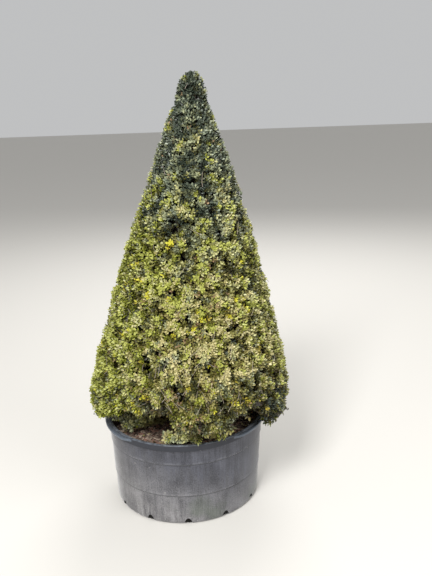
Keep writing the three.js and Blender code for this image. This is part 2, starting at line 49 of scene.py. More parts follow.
# The pot, sized as its solid is but for longer flanges and larger drain notches
POT_HEIGHT = 0.357
POT_BASE_RADIUS = 0.305
POT_MOUTH_RADIUS = 0.318
POT_WALL = 0.005
POT_FLOOR = 0.006
POT_FOOT_ROUNDING = 0.014
POT_STEP_HEIGHTS = (0.130, 0.270)
POT_STEP_DEPTH = 0.0025
POT_STEP_SLOPE = 0.003
POT_STEP_BEAD = 0.0005
POT_STEP_BEAD_RISE = 0.007
COLLAR_HEIGHT = 0.026
COLLAR_OUT = 0.005
COLLAR_SLOPE = 0.003
LIP_ROUNDING = 0.003
HANDLE_OUT = 0.013
HANDLE_THICKNESS = 0.013
HANDLE_ROUNDING = 0.0028
HANDLE_ARC = math.radians(105)
HANDLE_SIDES = (0.0, math.pi)
HANDLE_END = math.radians(8)
DRAIN_HOLES = 12
DRAIN_FIRST = math.radians(2)
DRAIN_WIDTH = 0.031
DRAIN_HEIGHT = 0.027
DRAIN_RUN = 0.029
DRAIN_PROUD = 0.004
DRAIN_SIDES = 16
POT_SEGMENTS = 256
HANDLE_STEPS = 72
# Moulded edges stay sharp from this many degrees.
MOULDED_EDGE = 40
# Flat lathed faces have their innermost ring at this radius.
LATHE_START = 0.05
# A thin moulded pot goes a little out of round and out of plumb: waves a turn, swings and phases.
POT_WAVES = ((1, 0.0055, 1.57), (2, 0.0020, 0.8), (3, 0.0011, -0.5), (5, 0.0005, 1.9))

# The potting mix, and the bark chips in it: their colour and how many
SOIL_EDGE_HEIGHT = 0.334
SOIL_CROWN_HEIGHT = 0.346
SOIL_FLAT_RADIUS = 0.060
SOIL_SHOULDER_SHARE = 0.6
SOIL_WALL_GAP = 0.0007
SOIL_BOTTOM = POT_FLOOR + 0.0003
SOIL_LUMP = 0.004
SOIL_LUMP_SIZE = 0.022
SOIL_SEGMENTS = 180
SOIL_RINGS = 80
CHIP_LENGTH = (0.007, 0.026)
CHIP_TILT = 0.28
CHIP_EDGE = 20
BARK_CHIPS = {"dark": ("#68554A", 900), "red": ("#9E7767", 800), "pale": ("#BFAB97", 420)}

# The crown's outline
CROWN_TOP = 1.730
CROWN_RADIUS = 0.421
WIDEST_HEIGHT = 0.470
HEM_HEIGHT = 0.322
HEM_TUCK = 0.062
CONE_BULGE = 1.15
CONE_TAPER = 0.84
TIP_CAP_HEIGHT = 0.130
TIP_CAP_RADIUS = 0.062
AXIS_OFFSET = 0.024
LEAN = 0.046
HEM_FRONT_AZIMUTH = math.radians(-97)
HEM_FRONT_HALF_WIDTH = math.radians(104)
HEM_FRONT_FADE = math.radians(44)
HEM_FRONT_RISE = 0.100
# Where the hem stands further off the potting mix: azimuth and half width in degrees, and rise
HEM_GAPS = ((-114, 36, 0.096), (-50, 20, 0.074))
# Where it hangs lower, in the same terms
HEM_DROP_AZIMUTH = -28
HEM_DROP_WIDTH = 24
HEM_DROP = 0.045
# The hem's edge is ragged: waves round the crown, their depth and phase
HEM_RAGS = ((17, 0.010, 1.0), (29, 0.009, 2.3), (47, 0.008, 0.7))
HEM_RISE_TOP = 0.640

# Trunk and boughs
TRUNK_FOOT = SOIL_CROWN_HEIGHT + 0.0003
TRUNK_RADIUS = 0.025
TRUNK_FLARE = 0.017
TRUNK_FLARE_HEIGHT = 0.070
TRUNK_TOP = 1.440
TRUNK_TOP_RADIUS = 0.006
TRUNK_TAPER_POWER = 0.8
TRUNK_SEGMENTS = 40
TRUNK_RINGS = 260
ROOT_RIBS = 5
BOUGH_TAPER = 0.6
BOUGH_END_GAP = 0.008
BOUGH_END_SHARE = 0.42
BOUGH_BEND_OUT = 0.35
BOUGH_BEND_UP = 0.75
BOUGH_SIDES = 14
BOUGH_STEPS = 40
BARK_PLATE_SIZE = 0.006
FORK_STAGGER = 0.009
FORK_STAGGER_STEPS = 3
STEM_REACH = 0.060
STEM_TAPER = 0.35

# Each sector of a tier is one mass of foliage on its own bough.
TIERS = (
    dict(name="skirt", sectors=6, turn=0.0, low=HEM_HEIGHT, high=0.7, hollow=0.165, fork=0.402, bough=0.013),
    dict(name="middle", sectors=5, turn=0.35, low=0.7, high=1.08, hollow=0.1, fork=0.64, bough=0.01),
    dict(name="upper", sectors=3, turn=0.9, low=1.08, high=1.4, hollow=0.048, fork=1.02, bough=0.008),
)
TIP_LOW = 1.4

# Branches follow the source's rule; branchlets and leafy sprigs carry it on, ever closer together.
BRANCH_SPACING = 0.116
BRANCH_SCALE_AT_HEM = 1.15
BRANCH_SCALE_AT_TIP = 0.62
BRANCH_MARGIN = 0.056
BRANCH_RADIUS = 0.0042
SQUARE_SHARE = 0.65
# How far from its end a branch or a finer limb bends, as a share of its reach
BRANCH_BEND = 0.45
FINE_BEND = 0.5
# Branches are lifted by this share of the hem's rise over them.
BRANCH_LIFT = 0.6
BRANCHLET_SPACING = 0.044
BRANCHLET_MARGIN = 0.036
BRANCHLET_RADIUS = 0.0020
SPRIG_SPACING = 0.0119
SPRIG_MARGIN = 0.008
SPRIG_RADIUS = 0.0009
# Two layers deeper in close the view inwards: spacing, range of depth, and how much larger the leaves are.
INNER_LAYERS = ((0.021, (0.034, 0.078), 1.0), (0.024, (0.080, 0.150), 1.8))
UP_TURN = 0.32
PAIRS = (3, 4)
INTERNODE = 0.0068
LEAF_LENGTH = (0.0124, 0.0174)
# Tufts stand out from the surface, with dark hollows between them.
CLUMP_SIZE = 0.085
CLUMP_DEPTH = 0.012
TUFT_SIZE = 0.024
TUFT_DEPTH = 0.020
HOLLOW_SHARE = 0.06
HOLLOW_SPRIGS = 0.12
HEM_HOLLOWS = 0.22
CREST_EVENNESS = 0.35
SLENDER_RADIUS = 0.200
UNDER_HEM = ((0.170, 0.425), (0.328, 0.376), (0.346, 0.345))

# Suckers that come up inside the pot's lip or arch over it: how many, from and to which azimuth in degrees,
# how far out, how high they bend and how high their tips are
LOW_SHOOTS = (
    (60, (-100, -60), (0.230, 0.304), 0.352, (0.368, 0.425)),
    (36, (-109, -84), (0.272, 0.303), 0.352, (0.363, 0.382)),
    (110, (-172, -137), (0.255, 0.318), 0.354, (0.372, 0.412)),
    (50, (-176, -152), (0.285, 0.328), 0.358, (0.385, 0.440)),
    (5, (-134, -127), (0.240, 0.275), 0.352, (0.395, 0.430)),
    (5, (-85, -77), (0.322, 0.334), 0.440, (0.370, 0.385)),
    (4, (-69, -63), (0.322, 0.334), 0.440, (0.370, 0.385)),
    (30, (-30, 190), (0.180, 0.290), 0.352, (0.370, 0.420)),
)
LOW_SHOOT_FOOT = (0.030, 0.358)
LOW_SHOOT_PAIRS = (6, 10)
LOW_SHOOT_LEAF = (0.014, 0.019)
FALLEN_LEAVES = 150
# What the fallen leaves are, and in which shares
FALLEN_KINDS = {"straw_tip": 0.35, "straw_young": 0.3, "straw_old": 0.2, "bronze": 0.15}

# Dead twigs that shears have left bare
BARE_SPACING = 0.028
BARE_LENGTH = (0.025, 0.065)
BARE_RADIUS = 0.0009
BARE_LOWEST = 0.54

# Each part of the crown has its family of leaves, from the bright tip of a shoot to its old leaves further
# down: slate where the plant is shaded, as painted shade, green below that, olive and straw where it is
# bleached, lime where it is lit, partly new growth and partly painted light.
LEAF_FAMILIES = {
    "slate": ("#818972", "#4C5445", "#353E32", "#232A22"),
    "green": ("#979B78", "#64684C", "#484928", "#2F2F16"),
    "olive": ("#B5B37E", "#868449", "#5B5824", "#37330D"),
    "straw": ("#BEB582", "#948C54", "#69602F", "#3F3413"),
    "lime": ("#A9AC57", "#7B7F28", "#525710", "#323607"),
}
LEAF_TONES = ("tip", "young", "full", "old")
OTHER_LEAVES = {"shade": "#29211C", "yellow": "#C0BA3A", "gold": "#A5963A", "bronze": "#967C5C"}
# Wax builds up on a leaf as it fills out, and wears off again.
LEAF_WAX = {"tip": 0.14, "young": 0.18, "full": 0.14, "old": 0.10}
LEAST_WAX = 0.10
YELLOW_SHARE = 0.030
BRONZE_SHARE = 0.008

# Half an oval blade: distance from the rib, along it and below it, as shares of the leaf's length
HALF_BLADE = np.array([(0.23, 0.27, -0.05), (0.25, 0.68, -0.09)])
LEAF_BLADE = np.vstack([(0, 0, 0), HALF_BLADE, (0, 1.0, -0.05), HALF_BLADE[::-1] * (-1, 1, 1)])
LEAF_FACES = np.array([(0, 1, 2), (0, 2, 3), (0, 3, 4), (0, 4, 5)])
# A leaf deep in the shade keeps its root, tip and widest points.
SHADE_CORNERS = [0, 2, 3, 4]
SHADE_FACES = np.array([(0, 1, 2), (0, 2, 3)])

SEED = 1859


def linear(hex_colour):
    """A colour written as sRGB hex, as the linear numbers that a shader takes."""
    parts = [int(hex_colour[i : i + 2], 16) / 255 for i in (1, 3, 5)]
    return tuple(c / 12.92 if c <= 0.04045 else ((c + 0.055) / 1.055) ** 2.4 for c in parts) + (1.0,)


def set_inputs(node, inputs):
    """Sets a node's inputs, each to a value, to a colour written as hex, or to another node's output."""
    for socket, value in inputs.items():
        if isinstance(value, bpy.types.NodeSocket):
            node.id_data.links.new(value, node.inputs[socket])
        else:
            node.inputs[socket].default_value = linear(value) if isinstance(value, str) else value


def add_node(tree, kind, inputs=(), output=0, **settings):
    """Adds one shader node with its settings and its inputs, by name or in order, and gives an output."""
    node = tree.nodes.new("ShaderNode" + kind)
    for name, value in settings.items():
        setattr(node, name, value)
    set_inputs(node, inputs if isinstance(inputs, dict) else dict(enumerate(inputs)))
    return node.outputs[output]


def start_material(name, roughness, ior=1.45, **inputs):
    """A new material: (material, its principled shader, what adds a node to it)."""
    material = bpy.data.materials.new(name)
    material.use_nodes = True
    shader = material.node_tree.nodes["Principled BSDF"]
    set_inputs(shader, {"Roughness": roughness, "IOR": ior, **inputs})
    return material, shader, functools.partial(add_node, material.node_tree)


def coated(add, colour, *coats):
    """A colour under coats of others, each given as the share that it covers and its colour."""
    # Inputs 6 and 7 of this node are its two colours.
    for share, coat in coats:
        colour = add("Mix", {0: share, 6: colour, 7: coat}, output=2, data_type="RGBA")
    return colour


def summed(add, total, *parts):
    """A value with others added, each given with its weight."""
    for value, weight in parts:
        total = add("Math", (value, weight, total), operation="MULTIPLY_ADD")
    return total


def lumpy(add, place, size, detail, stretch=1.0):
    """A value that changes in lumps of about that size, drawn out upwards by the stretch."""
    scale = (1 / size, 1 / size, 1 / (size * stretch))
    scaled = add("VectorMath", (place, scale), operation="MULTIPLY")
    return add("TexNoise", {"Vector": scaled, "Scale": 1.0, "Detail": detail})


# Shapes from arrays


def value_noise(points, size, seed):
    """Smooth noise from 0 to 1, one value a point, in lumps of about that size."""
    cells = 16
    lattice = np.random.default_rng(seed).random((cells, cells, cells))
    scaled = np.asarray(points) / size
    corner = np.floor(scaled).astype(int)
    part = scaled - corner
    part = part * part * (3 - 2 * part)
    total = np.zeros(len(scaled))
    for offset in itertools.product((0, 1), repeat=3):
        weight = np.prod(np.where(offset, part, 1 - part), axis=1)
        total += weight * lattice[tuple(((corner + offset) % cells).T)]
    return total


def ranked(values):
    """The same values spread evenly from 0 to 1, in the same order."""
    order = np.empty(len(values))
    order[np.argsort(values)] = np.arange(len(values))
    return (order + 0.5) / len(values)


def unit(vectors):
    return vectors / np.maximum(np.linalg.norm(vectors, axis=-1, keepdims=True), 1e-9)


def polar(azimuth, radius, height):
    azimuth, radius, height = np.broadcast_arrays(azimuth, radius, height)
    return np.stack([radius * np.cos(azimuth), radius * np.sin(azimuth), height], axis=-1).astype(float)


def sideways_of(directions):
    """A unit vector square to each direction."""
    helper = np.where(np.abs(directions[..., 2:]) > 0.9, (1.0, 0.0, 0.0), (0.0, 0.0, 1.0))
    return unit(np.cross(directions, helper))


def angle_between(a, b):
    return np.abs(np.arctan2(np.sin(a - b), np.cos(a - b)))


def smoothed(values, low, high):
    """From 0 at the low value to 1 at the high one, smoothly."""
    share = np.clip((np.asarray(values) - low) / (high - low), 0, 1)
    return share * share * (3 - 2 * share)


def near(azimuth, degrees, width):
    """From 1 at an azimuth down to 0 a width away from it, smoothly."""
    return smoothed(angle_between(azimuth, math.radians(degrees)), math.radians(width), 0)


def mesh_piece(name, points, faces, material, smooth_under=None):
    """A smooth mesh object from arrays of points and of three- or four-cornered faces."""
    faces = np.asarray(faces, np.int32)
    mesh = bpy.data.meshes.new(name)
    mesh.vertices.add(len(points))
    mesh.vertices.foreach_set("co", np.asarray(points, np.float32).ravel())
    mesh.loops.add(faces.size)
    mesh.loops.foreach_set("vertex_index", faces.ravel())
    mesh.polygons.add(len(faces))
    mesh.polygons.foreach_set("loop_start", np.arange(len(faces), dtype=np.int32) * faces.shape[1])
    mesh.update(calc_edges=True)
    mesh.validate()
    mesh.shade_smooth()
    if smooth_under is not None:
        mesh.set_sharp_from_angle(angle=math.radians(smooth_under))
    mesh.materials.append(material)
    piece = bpy.data.objects.new(name, mesh)
    bpy.context.scene.collection.objects.link(piece)
    return piece


def settle(piece, slot, *nodes):
    """The piece rides on the plant's one body and stands for these nodes."""
    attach(piece, "root")
    if nodes:
        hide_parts(*nodes)


def ring_faces(rings, sides):
    """Four-cornered faces between rings of points that follow each other, facing outwards."""
    ring = np.arange(rings - 1)[:, None]
    side = np.arange(sides)[None, :]
    beside = (side + 1) % sides
    low, high = ring * sides, (ring + 1) * sides
    return np.stack((low + side, low + beside, high + beside, high + side), axis=-1).reshape(-1, 4)


def triangles(quads, *more):
    """Four-cornered faces, each cut in two, with more triangles after them."""
    return np.vstack([quads[:, [0, 1, 2]], quads[:, [0, 2, 3]], *more])


def repeated(faces, count, corners):
    """The same faces for each of so many shapes, which have so many points each."""
    return (np.asarray(faces)[None] + np.arange(count)[:, None, None] * corners).reshape(-1, 3)


def joined(*shapes):
    """Several (points, faces) shapes as one."""
    offset, all_points, all_faces = 0, [], []
    for points, faces in shapes:
        all_points.append(points)
        all_faces.append(faces + offset)
        offset += len(points)
    return np.vstack(all_points), np.vstack(all_faces)


def lathed(profile, segments):
    """A closed solid turned from a profile of radii and heights that runs up the outside."""
    turned = np.array(profile)
    azimuth = np.arange(segments) / segments * TURN
    points = polar(azimuth[None, :], turned[:, :1], turned[:, 1:]).reshape(-1, 3)
    low, high = len(points), len(points) + 1
    points = np.vstack([points, [0, 0, turned[0][1]], [0, 0, turned[-1][1]]])
    side = np.arange(segments)
    beside = (side + 1) % segments
    last = (len(turned) - 1) * segments
    bottom = np.stack([np.full(segments, low), beside, side], axis=-1)
    top = np.stack([np.full(segments, high), last + side, last + beside], axis=-1)
    return points, triangles(ring_faces(len(turned), segments), bottom, top)


def bezier(curves, shares):
    """Points and headings along quadratic curves, each given as (start, bend, end)."""
    start, bend, end = (c[:, None, :] for c in curves)
    t = np.asarray(shares)[..., None]
    points = (1 - t) ** 2 * start + 2 * t * (1 - t) * bend + t**2 * end
    heading = (1 - t) * (bend - start) + t * (end - bend)
    return points, unit(heading)


def limbs(curves, start_radius, end_radius, sides, steps):
    """Many tapering limbs at once, each ending in a point, as one array of points and one of triangles."""
    count = len(curves[0])
    shares = np.broadcast_to(np.linspace(0, 1, steps + 1), (count, steps + 1))
    points, heading = bezier(curves, shares)
    side = sideways_of(heading[:, :1])
    across = unit(side - heading * np.sum(side * heading, axis=-1, keepdims=True))
    other = np.cross(heading, across)
    radius = np.broadcast_to(start_radius, (count,))[:, None] * (1 - shares)
    radius = radius + np.broadcast_to(end_radius, (count,))[:, None] * shares
    angle = np.arange(sides) / sides * TURN
    ring = across[:, :-1, None] * np.cos(angle)[:, None] + other[:, :-1, None] * np.sin(angle)[:, None]
    rings = points[:, :-1, None] + ring * radius[:, :-1, None, None]
    vertices = np.concatenate([rings.reshape(count, -1, 3), points[:, -1:]], axis=1)
    end = steps * sides
    last = end - sides
    tip = [(last + s, last + (s + 1) % sides, end) for s in range(sides)]
    return vertices.reshape(-1, 3), repeated(triangles(ring_faces(steps, sides), tip), count, end + 1)


# Crown outline


def crown_radius(height):
    height = np.asarray(height, float)
    drop = np.clip((WIDEST_HEIGHT - height) / (WIDEST_HEIGHT - HEM_HEIGHT), 0, None)
    rise = np.clip((height - WIDEST_HEIGHT) / (CROWN_TOP - WIDEST_HEIGHT), 0, 1)
    cone = CROWN_RADIUS * (1 - rise**CONE_BULGE) ** CONE_TAPER
    cap_rise = np.clip((height - CROWN_TOP) / TIP_CAP_HEIGHT + 1, 0, 1)
    cap = np.where(cap_rise > 0, TIP_CAP_RADIUS * np.sqrt(1 - cap_rise**2), 0)
    return np.maximum(cone, cap) - HEM_TUCK * drop**2


def hem_rise(azimuth):
    """The hem clears the pot's lip on the viewer's side, most over two gaps, and hangs past it elsewhere."""
    inside = HEM_FRONT_HALF_WIDTH - angle_between(azimuth, HEM_FRONT_AZIMUTH)
    gaps = sum(rise * near(azimuth, middle, width) for middle, width, rise in HEM_GAPS)
    drop = HEM_DROP * near(azimuth, HEM_DROP_AZIMUTH, HEM_DROP_WIDTH)
    rags = sum(depth * np.sin(waves * azimuth + phase) for waves, depth, phase in HEM_RAGS)
    return np.maximum(HEM_FRONT_RISE * smoothed(inside, 0, HEM_FRONT_FADE) + gaps + rags - drop, 0)


def leaned(points):
    """The upright plant's points as it stands, leaning a little towards +X."""
    shifted = np.array(points, float)
    shifted[..., 0] += AXIS_OFFSET + LEAN * (shifted[..., 2] - SOIL_CROWN_HEIGHT)
    return shifted


def leaned_curves(curves):
    return [leaned(part) for part in curves]


def gathered(rows):
    """Rows of arrays, such as the starts, bends and ends of curves, joined column by column."""
    return [np.concatenate(column) for column in zip(*rows)]


def outline_places(spacing, rng):
    """Places a spacing apart all over the outline and under its hem: azimuth, point and outward heading."""
    heights = np.linspace(HEM_HEIGHT, CROWN_TOP, 3000)
    line = np.vstack([UNDER_HEM, np.column_stack([crown_radius(heights), heights])])
    run = np.concatenate([[0], np.cumsum(np.linalg.norm(np.diff(line, axis=0), axis=1))])
    azimuths, along = [], []
    for row in np.arange(spacing / 2, run[-1], spacing):
        columns = max(3, round(TURN * np.interp(row, run, line[:, 0]) / spacing))
        azimuths.append((np.arange(columns) + 0.8 * rng.random(columns)) / columns * TURN + 7 * row)
        along.append(row + spacing * (rng.random(columns) - 0.5))
    azimuth, along = np.concatenate(azimuths), np.concatenate(along)

    def on_line(places):
        return np.array([np.interp(places, run, column) for column in line.T])

    near_by = 0.004
    radius, height = on_line(along)
    slope = on_line(along + near_by) - on_line(along - near_by)
    outward = unit(np.stack([slope[1], -slope[0]], axis=-1))
    below_top = np.clip((HEM_RISE_TOP - height) / (HEM_RISE_TOP - HEM_HEIGHT), 0, 1)
    lifted = height + hem_rise(azimuth) * below_top
    on_crown = along > run[len(UNDER_HEM)]
    radius = radius + np.where(on_crown, crown_radius(lifted) - crown_radius(height), 0)
    return azimuth, polar(azimuth, radius, lifted), polar(azimuth, outward[:, 0], outward[:, 1])


# Pot


def pot_wall_radius(height):
    taper = POT_BASE_RADIUS + (POT_MOUTH_RADIUS - POT_BASE_RADIUS) * height / POT_HEIGHT
    steps_above = sum(height < step for step in POT_STEP_HEIGHTS)
    return taper - POT_STEP_DEPTH * (steps_above - 1)


def pot_inner_radius(height):
    base = POT_BASE_RADIUS - POT_STEP_DEPTH - POT_WALL
    return base + (POT_MOUTH_RADIUS - POT_WALL - base) * height / POT_HEIGHT


def rounded_corner(radius, height, rounding, from_degrees, to_degrees, steps=6):
    angles = np.radians(np.linspace(from_degrees, to_degrees, steps + 1))
    return [(radius + rounding * math.cos(a), height + rounding * math.sin(a)) for a in angles]


def pot_profile():
    """The moulded wall from the middle of the underside, up the outside, over the lip and down inside."""
    collar_base = POT_HEIGHT - COLLAR_HEIGHT
    collar = pot_wall_radius(POT_HEIGHT) + COLLAR_OUT
    foot = pot_wall_radius(0) - POT_FOOT_ROUNDING
    outside = [(LATHE_START, 0), (foot * 0.6, 0)]
    outside += rounded_corner(foot, POT_FOOT_ROUNDING, POT_FOOT_ROUNDING, -90, 0, 8)
    stops = [POT_FOOT_ROUNDING, *POT_STEP_HEIGHTS, collar_base]
    for index, (low, high) in enumerate(zip(stops, stops[1:])):
        start = low + POT_STEP_SLOPE / 2 if index else low + POT_STEP_SLOPE
        end = high - POT_STEP_SLOPE / 2 if high != collar_base else high
        if index:
            outside.append((pot_wall_radius(start) + POT_STEP_BEAD, start))
            start += POT_STEP_BEAD_RISE
        outside += [(pot_wall_radius(h), h) for h in np.linspace(start, end, 7)]
    outside.append((collar, collar_base + COLLAR_SLOPE))
    lip = rounded_corner(collar - LIP_ROUNDING, POT_HEIGHT - LIP_ROUNDING, LIP_ROUNDING, 0, 90)
    inner_edge = pot_inner_radius(POT_HEIGHT) + LIP_ROUNDING / 2
    lip += rounded_corner(inner_edge, POT_HEIGHT - LIP_ROUNDING / 2, LIP_ROUNDING / 2, 90, 180, 4)
    inside = [(pot_inner_radius(h), h) for h in np.linspace(collar_base, POT_FLOOR, 6)]
    return outside + lip + inside + [(LATHE_START, POT_FLOOR)]


def out_of_round(points):
    """The pot's slight waviness, none at its flat foot and most at its mouth."""
    bent = np.array(points, float)
    azimuth = np.arctan2(bent[:, 1], bent[:, 0])
    radius = np.maximum(np.hypot(bent[:, 0], bent[:, 1]), 1e-6)
    swing = sum(size * np.sin(waves * azimuth + phase) for waves, size, phase in POT_WAVES)
    share = np.clip(bent[:, 2] / POT_HEIGHT, 0, 1) * np.clip(radius / POT_BASE_RADIUS, 0, 1)
    bent[:, :2] *= (1 + swing * share / radius)[:, None]
    return bent


def drain_cutter():
    """One mesh of the twelve round-topped cutters that notch the foot of the wall."""
    sides = DRAIN_SIDES
    angles = np.arange(sides) / sides * TURN
    outline = np.stack([DRAIN_WIDTH / 2 * np.cos(angles), DRAIN_HEIGHT * np.sin(angles)], axis=-1)
    outer = POT_BASE_RADIUS + DRAIN_PROUD
    inner = outer - DRAIN_RUN
    caps = [(2 * sides, (s + 1) % sides, s) for s in range(sides)]
    caps += [(2 * sides + 1, sides + s, sides + (s + 1) % sides) for s in range(sides)]
    faces = triangles(ring_faces(2, sides), caps)
    shapes = []
    for azimuth in DRAIN_FIRST + np.arange(DRAIN_HOLES) / DRAIN_HOLES * TURN:
        along, beside = polar(azimuth, 1, 0), polar(azimuth + math.pi / 2, 1, 0)
        ends = [along * r + outline[:, :1] * beside + outline[:, 1:] * (0, 0, 1) for r in (inner, outer)]
        shapes.append((np.vstack([*ends, along * inner, along * outer]), faces))
    return joined(*shapes)


def cut_away(body, cutter):
    """Cuts the cutter's shape out of the body, and leaves the cutter out of the scene."""
    cut = body.modifiers.new("cut", "BOOLEAN")
    cut.operation = "DIFFERENCE"
    cut.solver = "EXACT"
    cut.object = cutter
    shaped = body.evaluated_get(bpy.context.evaluated_depsgraph_get())
    mesh = bpy.data.meshes.new_from_object(shaped)
    body.modifiers.clear()
    body.data = mesh
    bpy.data.objects.remove(cutter)


def handle_shape(side):
    """A rolled flange round part of the lip, which thins away at both ends."""
    turn = np.linspace(-HANDLE_ARC / 2, HANDLE_ARC / 2, HANDLE_STEPS + 1)
    fade = smoothed(HANDLE_ARC / 2 - np.abs(turn), 0, HANDLE_END)
    inner = pot_wall_radius(POT_HEIGHT)
    low, high = POT_HEIGHT - HANDLE_THICKNESS, POT_HEIGHT - LIP_ROUNDING
    rounding, full = HANDLE_ROUNDING, COLLAR_OUT + HANDLE_OUT
    section = [(inner, low)]
    section += rounded_corner(inner + full - rounding, low + rounding, rounding, -90, 0, 4)
    section += rounded_corner(inner + full - rounding, high - rounding, rounding, 0, 90, 4)
    section += [(inner + 0.55 * full, high + 0.0006), (inner + 0.3 * full, high - 0.0004), (inner, high)]
    radius, height = np.array(section).T
    width = COLLAR_OUT - 0.0005 + (full - COLLAR_OUT) * fade[:, None]
    rings = polar(side + turn[:, None], inner + (radius - inner)[None] * width / full, height[None])
    count = len(section)
    last = HANDLE_STEPS * count
    ends = [(0, s, s + 1) for s in range(1, count - 1)]
    ends += [(last, last + s + 1, last + s) for s in range(1, count - 1)]
    return rings.reshape(-1, 3), triangles(ring_faces(HANDLE_STEPS + 1, count), ends)[:, ::-1]


def band(add, height, middle, half_width, strength):
    """A share that is strongest at one height and gone half a width above and below it."""
    off = add("Math", (height, middle), operation="SUBTRACT")
    away = add("Math", (off,), operation="ABSOLUTE")
    return add("MapRange", (away, half_width, 0.0, 0.0, strength))


def weathered_polyethylene(name, rim_tone, wall_tones, dust_tones, grime):
    """Blow-moulded black polyethylene, greyed by sun: chalky, streaked by rain, dustier towards the ground.

    The eye gets a soft low sheen, upright streaks from 4 to 15 mm wide, cloudy patches, specks and scuffs,
    with painted highlights on the steps and lip and painted shade under the steps, on the collar and inside.
    """
    sheen = {"Sheen Weight": 0.7, "Sheen Roughness": 0.3}
    material, shader, add = start_material(name, 0.62, 1.51, **sheen)
    place = add("TexCoord", output="Object")
    across, height = (add("SeparateXYZ", (place,), output=axis) for axis in "XZ")
    fine = lumpy(add, place, 0.0045, 3.0, stretch=20)
    broad = lumpy(add, place, 0.020, 4.0, stretch=9)
    speckle = lumpy(add, place, 0.0035, 4.0)
    cloud = lumpy(add, place, 0.070, 5.0)
    streaks = summed(add, broad, (fine, 0.9))
    tone = add("MapRange", (summed(add, streaks, (cloud, 1.15), (speckle, 1.4)), 1.86, 2.66))
    wall, dust = (coated(add, dark, (tone, pale)) for dark, pale in (wall_tones, dust_tones))
    # Dust and splashed soil thicken towards the ground and towards -X, with a ragged upper edge.
    dust_line = summed(add, height, (streaks, 0.16), (across, 0.36))
    dusty = add("MapRange", (dust_line, 0.42, 0.14))
    # A thin bloom of algae in patches a hand's width across, only near the ground.
    patches = add("MapRange", (lumpy(add, place, 0.11, 5.0), 0.52, 0.68, 0.0, 0.45))
    algae = add("Math", (add("MapRange", (height, 0.17, 0.05)), patches), operation="MULTIPLY")
    skin = coated(add, wall, (dusty, dust), (algae, grime))
    # Each moulded step has a pale line along its edge in places, painted highlight as well as rubbing, and a
    # dark band under it, painted shadow as well as dirt.
    rubbing_and_highlight = add("MapRange", (broad, 0.40, 0.70, 0.0, 0.18))
    for step in POT_STEP_HEIGHTS:
        edge = band(add, height, step + 0.005, 0.006, 1.0)
        edge = add("Math", (edge, rubbing_and_highlight), operation="MULTIPLY")
        step_shadow_and_dirt = band(add, height, step - 0.001, 0.0045, 0.85)
        skin = coated(add, skin, (edge, "#A0A0A3"), (step_shadow_and_dirt, "#232428"))
    # Grit and lime leave pale specks about 3 mm across, and knocks leave a few dark ones.
    for shift, tint, share in ((0.0, "#BDBAB4", 0.75), (3.7, "#34353A", 0.6)):
        shifted = add("VectorMath", (place, (shift, 0.0, 0.0)))
        speck = add("TexVoronoi", {"Vector": shifted, "Scale": 1 / 0.045}, output="Distance")
        skin = coated(add, skin, (add("MapRange", (speck, 0.050, 0.030, 0.0, share)), tint))
    # The collar is handled and shaded, so it stays darker and bluer than the wall, partly as painted shade;
    # its lip has a pale line in places, painted highlight as well as rubbing.
    collar = coated(add, rim_tone, (tone, wall_tones[0]))
    collar_base = POT_HEIGHT - COLLAR_HEIGHT
    on_collar = add("MapRange", (height, collar_base - 0.0025, collar_base + 0.0015))
    on_lip = add("MapRange", (height, POT_HEIGHT - 0.0025, POT_HEIGHT - 0.0005))
    lip_wear_and_highlight = add("MapRange", (broad, 0.35, 0.65, 0.15, 0.8))
    lip = add("Math", (on_lip, lip_wear_and_highlight), operation="MULTIPLY")
    # Inside the wall and in the drain notches the plastic is near black: unweathered where sun never
    # reaches, and painted shade as well.
    normal = add("NewGeometry", output="Normal")
    outwards = add("VectorMath", (place, (1.0, 1.0, 0.0)), operation="MULTIPLY")
    outwards = add("VectorMath", (outwards,), operation="NORMALIZE")
    facing = add("VectorMath", (outwards, normal), output="Value", operation="DOT_PRODUCT")
    by_notch = add("MapRange", (height, DRAIN_HEIGHT + 0.0015, DRAIN_HEIGHT - 0.0005))
    sideways = add("MapRange", (facing, 0.75, 0.35))
    notch = add("Math", (sideways, by_notch), operation="MULTIPLY")
    unweathered_and_shaded = add("Math", (add("MapRange", (facing, -0.1, -0.5)), notch), operation="MAXIMUM")
    skin = coated(add, skin, (on_collar, collar), (unweathered_and_shaded, "#1B1C20"), (lip, "#7B828B"))
    relief = summed(add, lumpy(add, place, 0.0022, 2.0), (streaks, 0.5))
    bump = add("Bump", {"Height": relief, "Strength": 0.35, "Distance": 0.0006})
    rough = add("MapRange", (tone, 0.0, 1.0, 0.52, 0.74))
    set_inputs(shader, {"Base Color": skin, "Normal": bump, "Roughness": rough})
    return material


def make_pot():
    plastic = weathered_polyethylene(
        "weathered_black_polyethylene", "#23262E", ("#292A31", "#54555D"), ("#4B4A4D", "#979595"), "#4E5848"
    )
    body = mesh_piece("pot_body", *lathed(pot_profile(), POT_SEGMENTS), plastic)
    cut_away(body, mesh_piece("drain_cutter", *drain_cutter(), plastic))
    places = np.array([v.co for v in body.data.vertices])
    body.data.vertices.foreach_set("co", out_of_round(places).astype(np.float32).ravel())
    body.data.shade_smooth()
    body.data.set_sharp_from_angle(angle=math.radians(MOULDED_EDGE))
    settle(body, "pot", "pot")
    handled = weathered_polyethylene(
        "handled_black_polyethylene", "#59616B", ("#4F5660", "#666E78"), ("#5B5A5B", "#8B8885"), "#566050"
    )
    points, faces = joined(*(handle_shape(side) for side in HANDLE_SIDES))
    settle(mesh_piece("pot_handles", out_of_round(points), faces, handled, MOULDED_EDGE), "pot", "pot")


# Potting mix


def soil_height(radius):
    edge = pot_inner_radius(SOIL_EDGE_HEIGHT)
    stops = (0, SOIL_FLAT_RADIUS, edge * SOIL_SHOULDER_SHARE, edge)
    middle = (SOIL_EDGE_HEIGHT + SOIL_CROWN_HEIGHT) / 2
    return np.interp(radius, stops, (SOIL_CROWN_HEIGHT, SOIL_CROWN_HEIGHT, middle, SOIL_EDGE_HEIGHT))


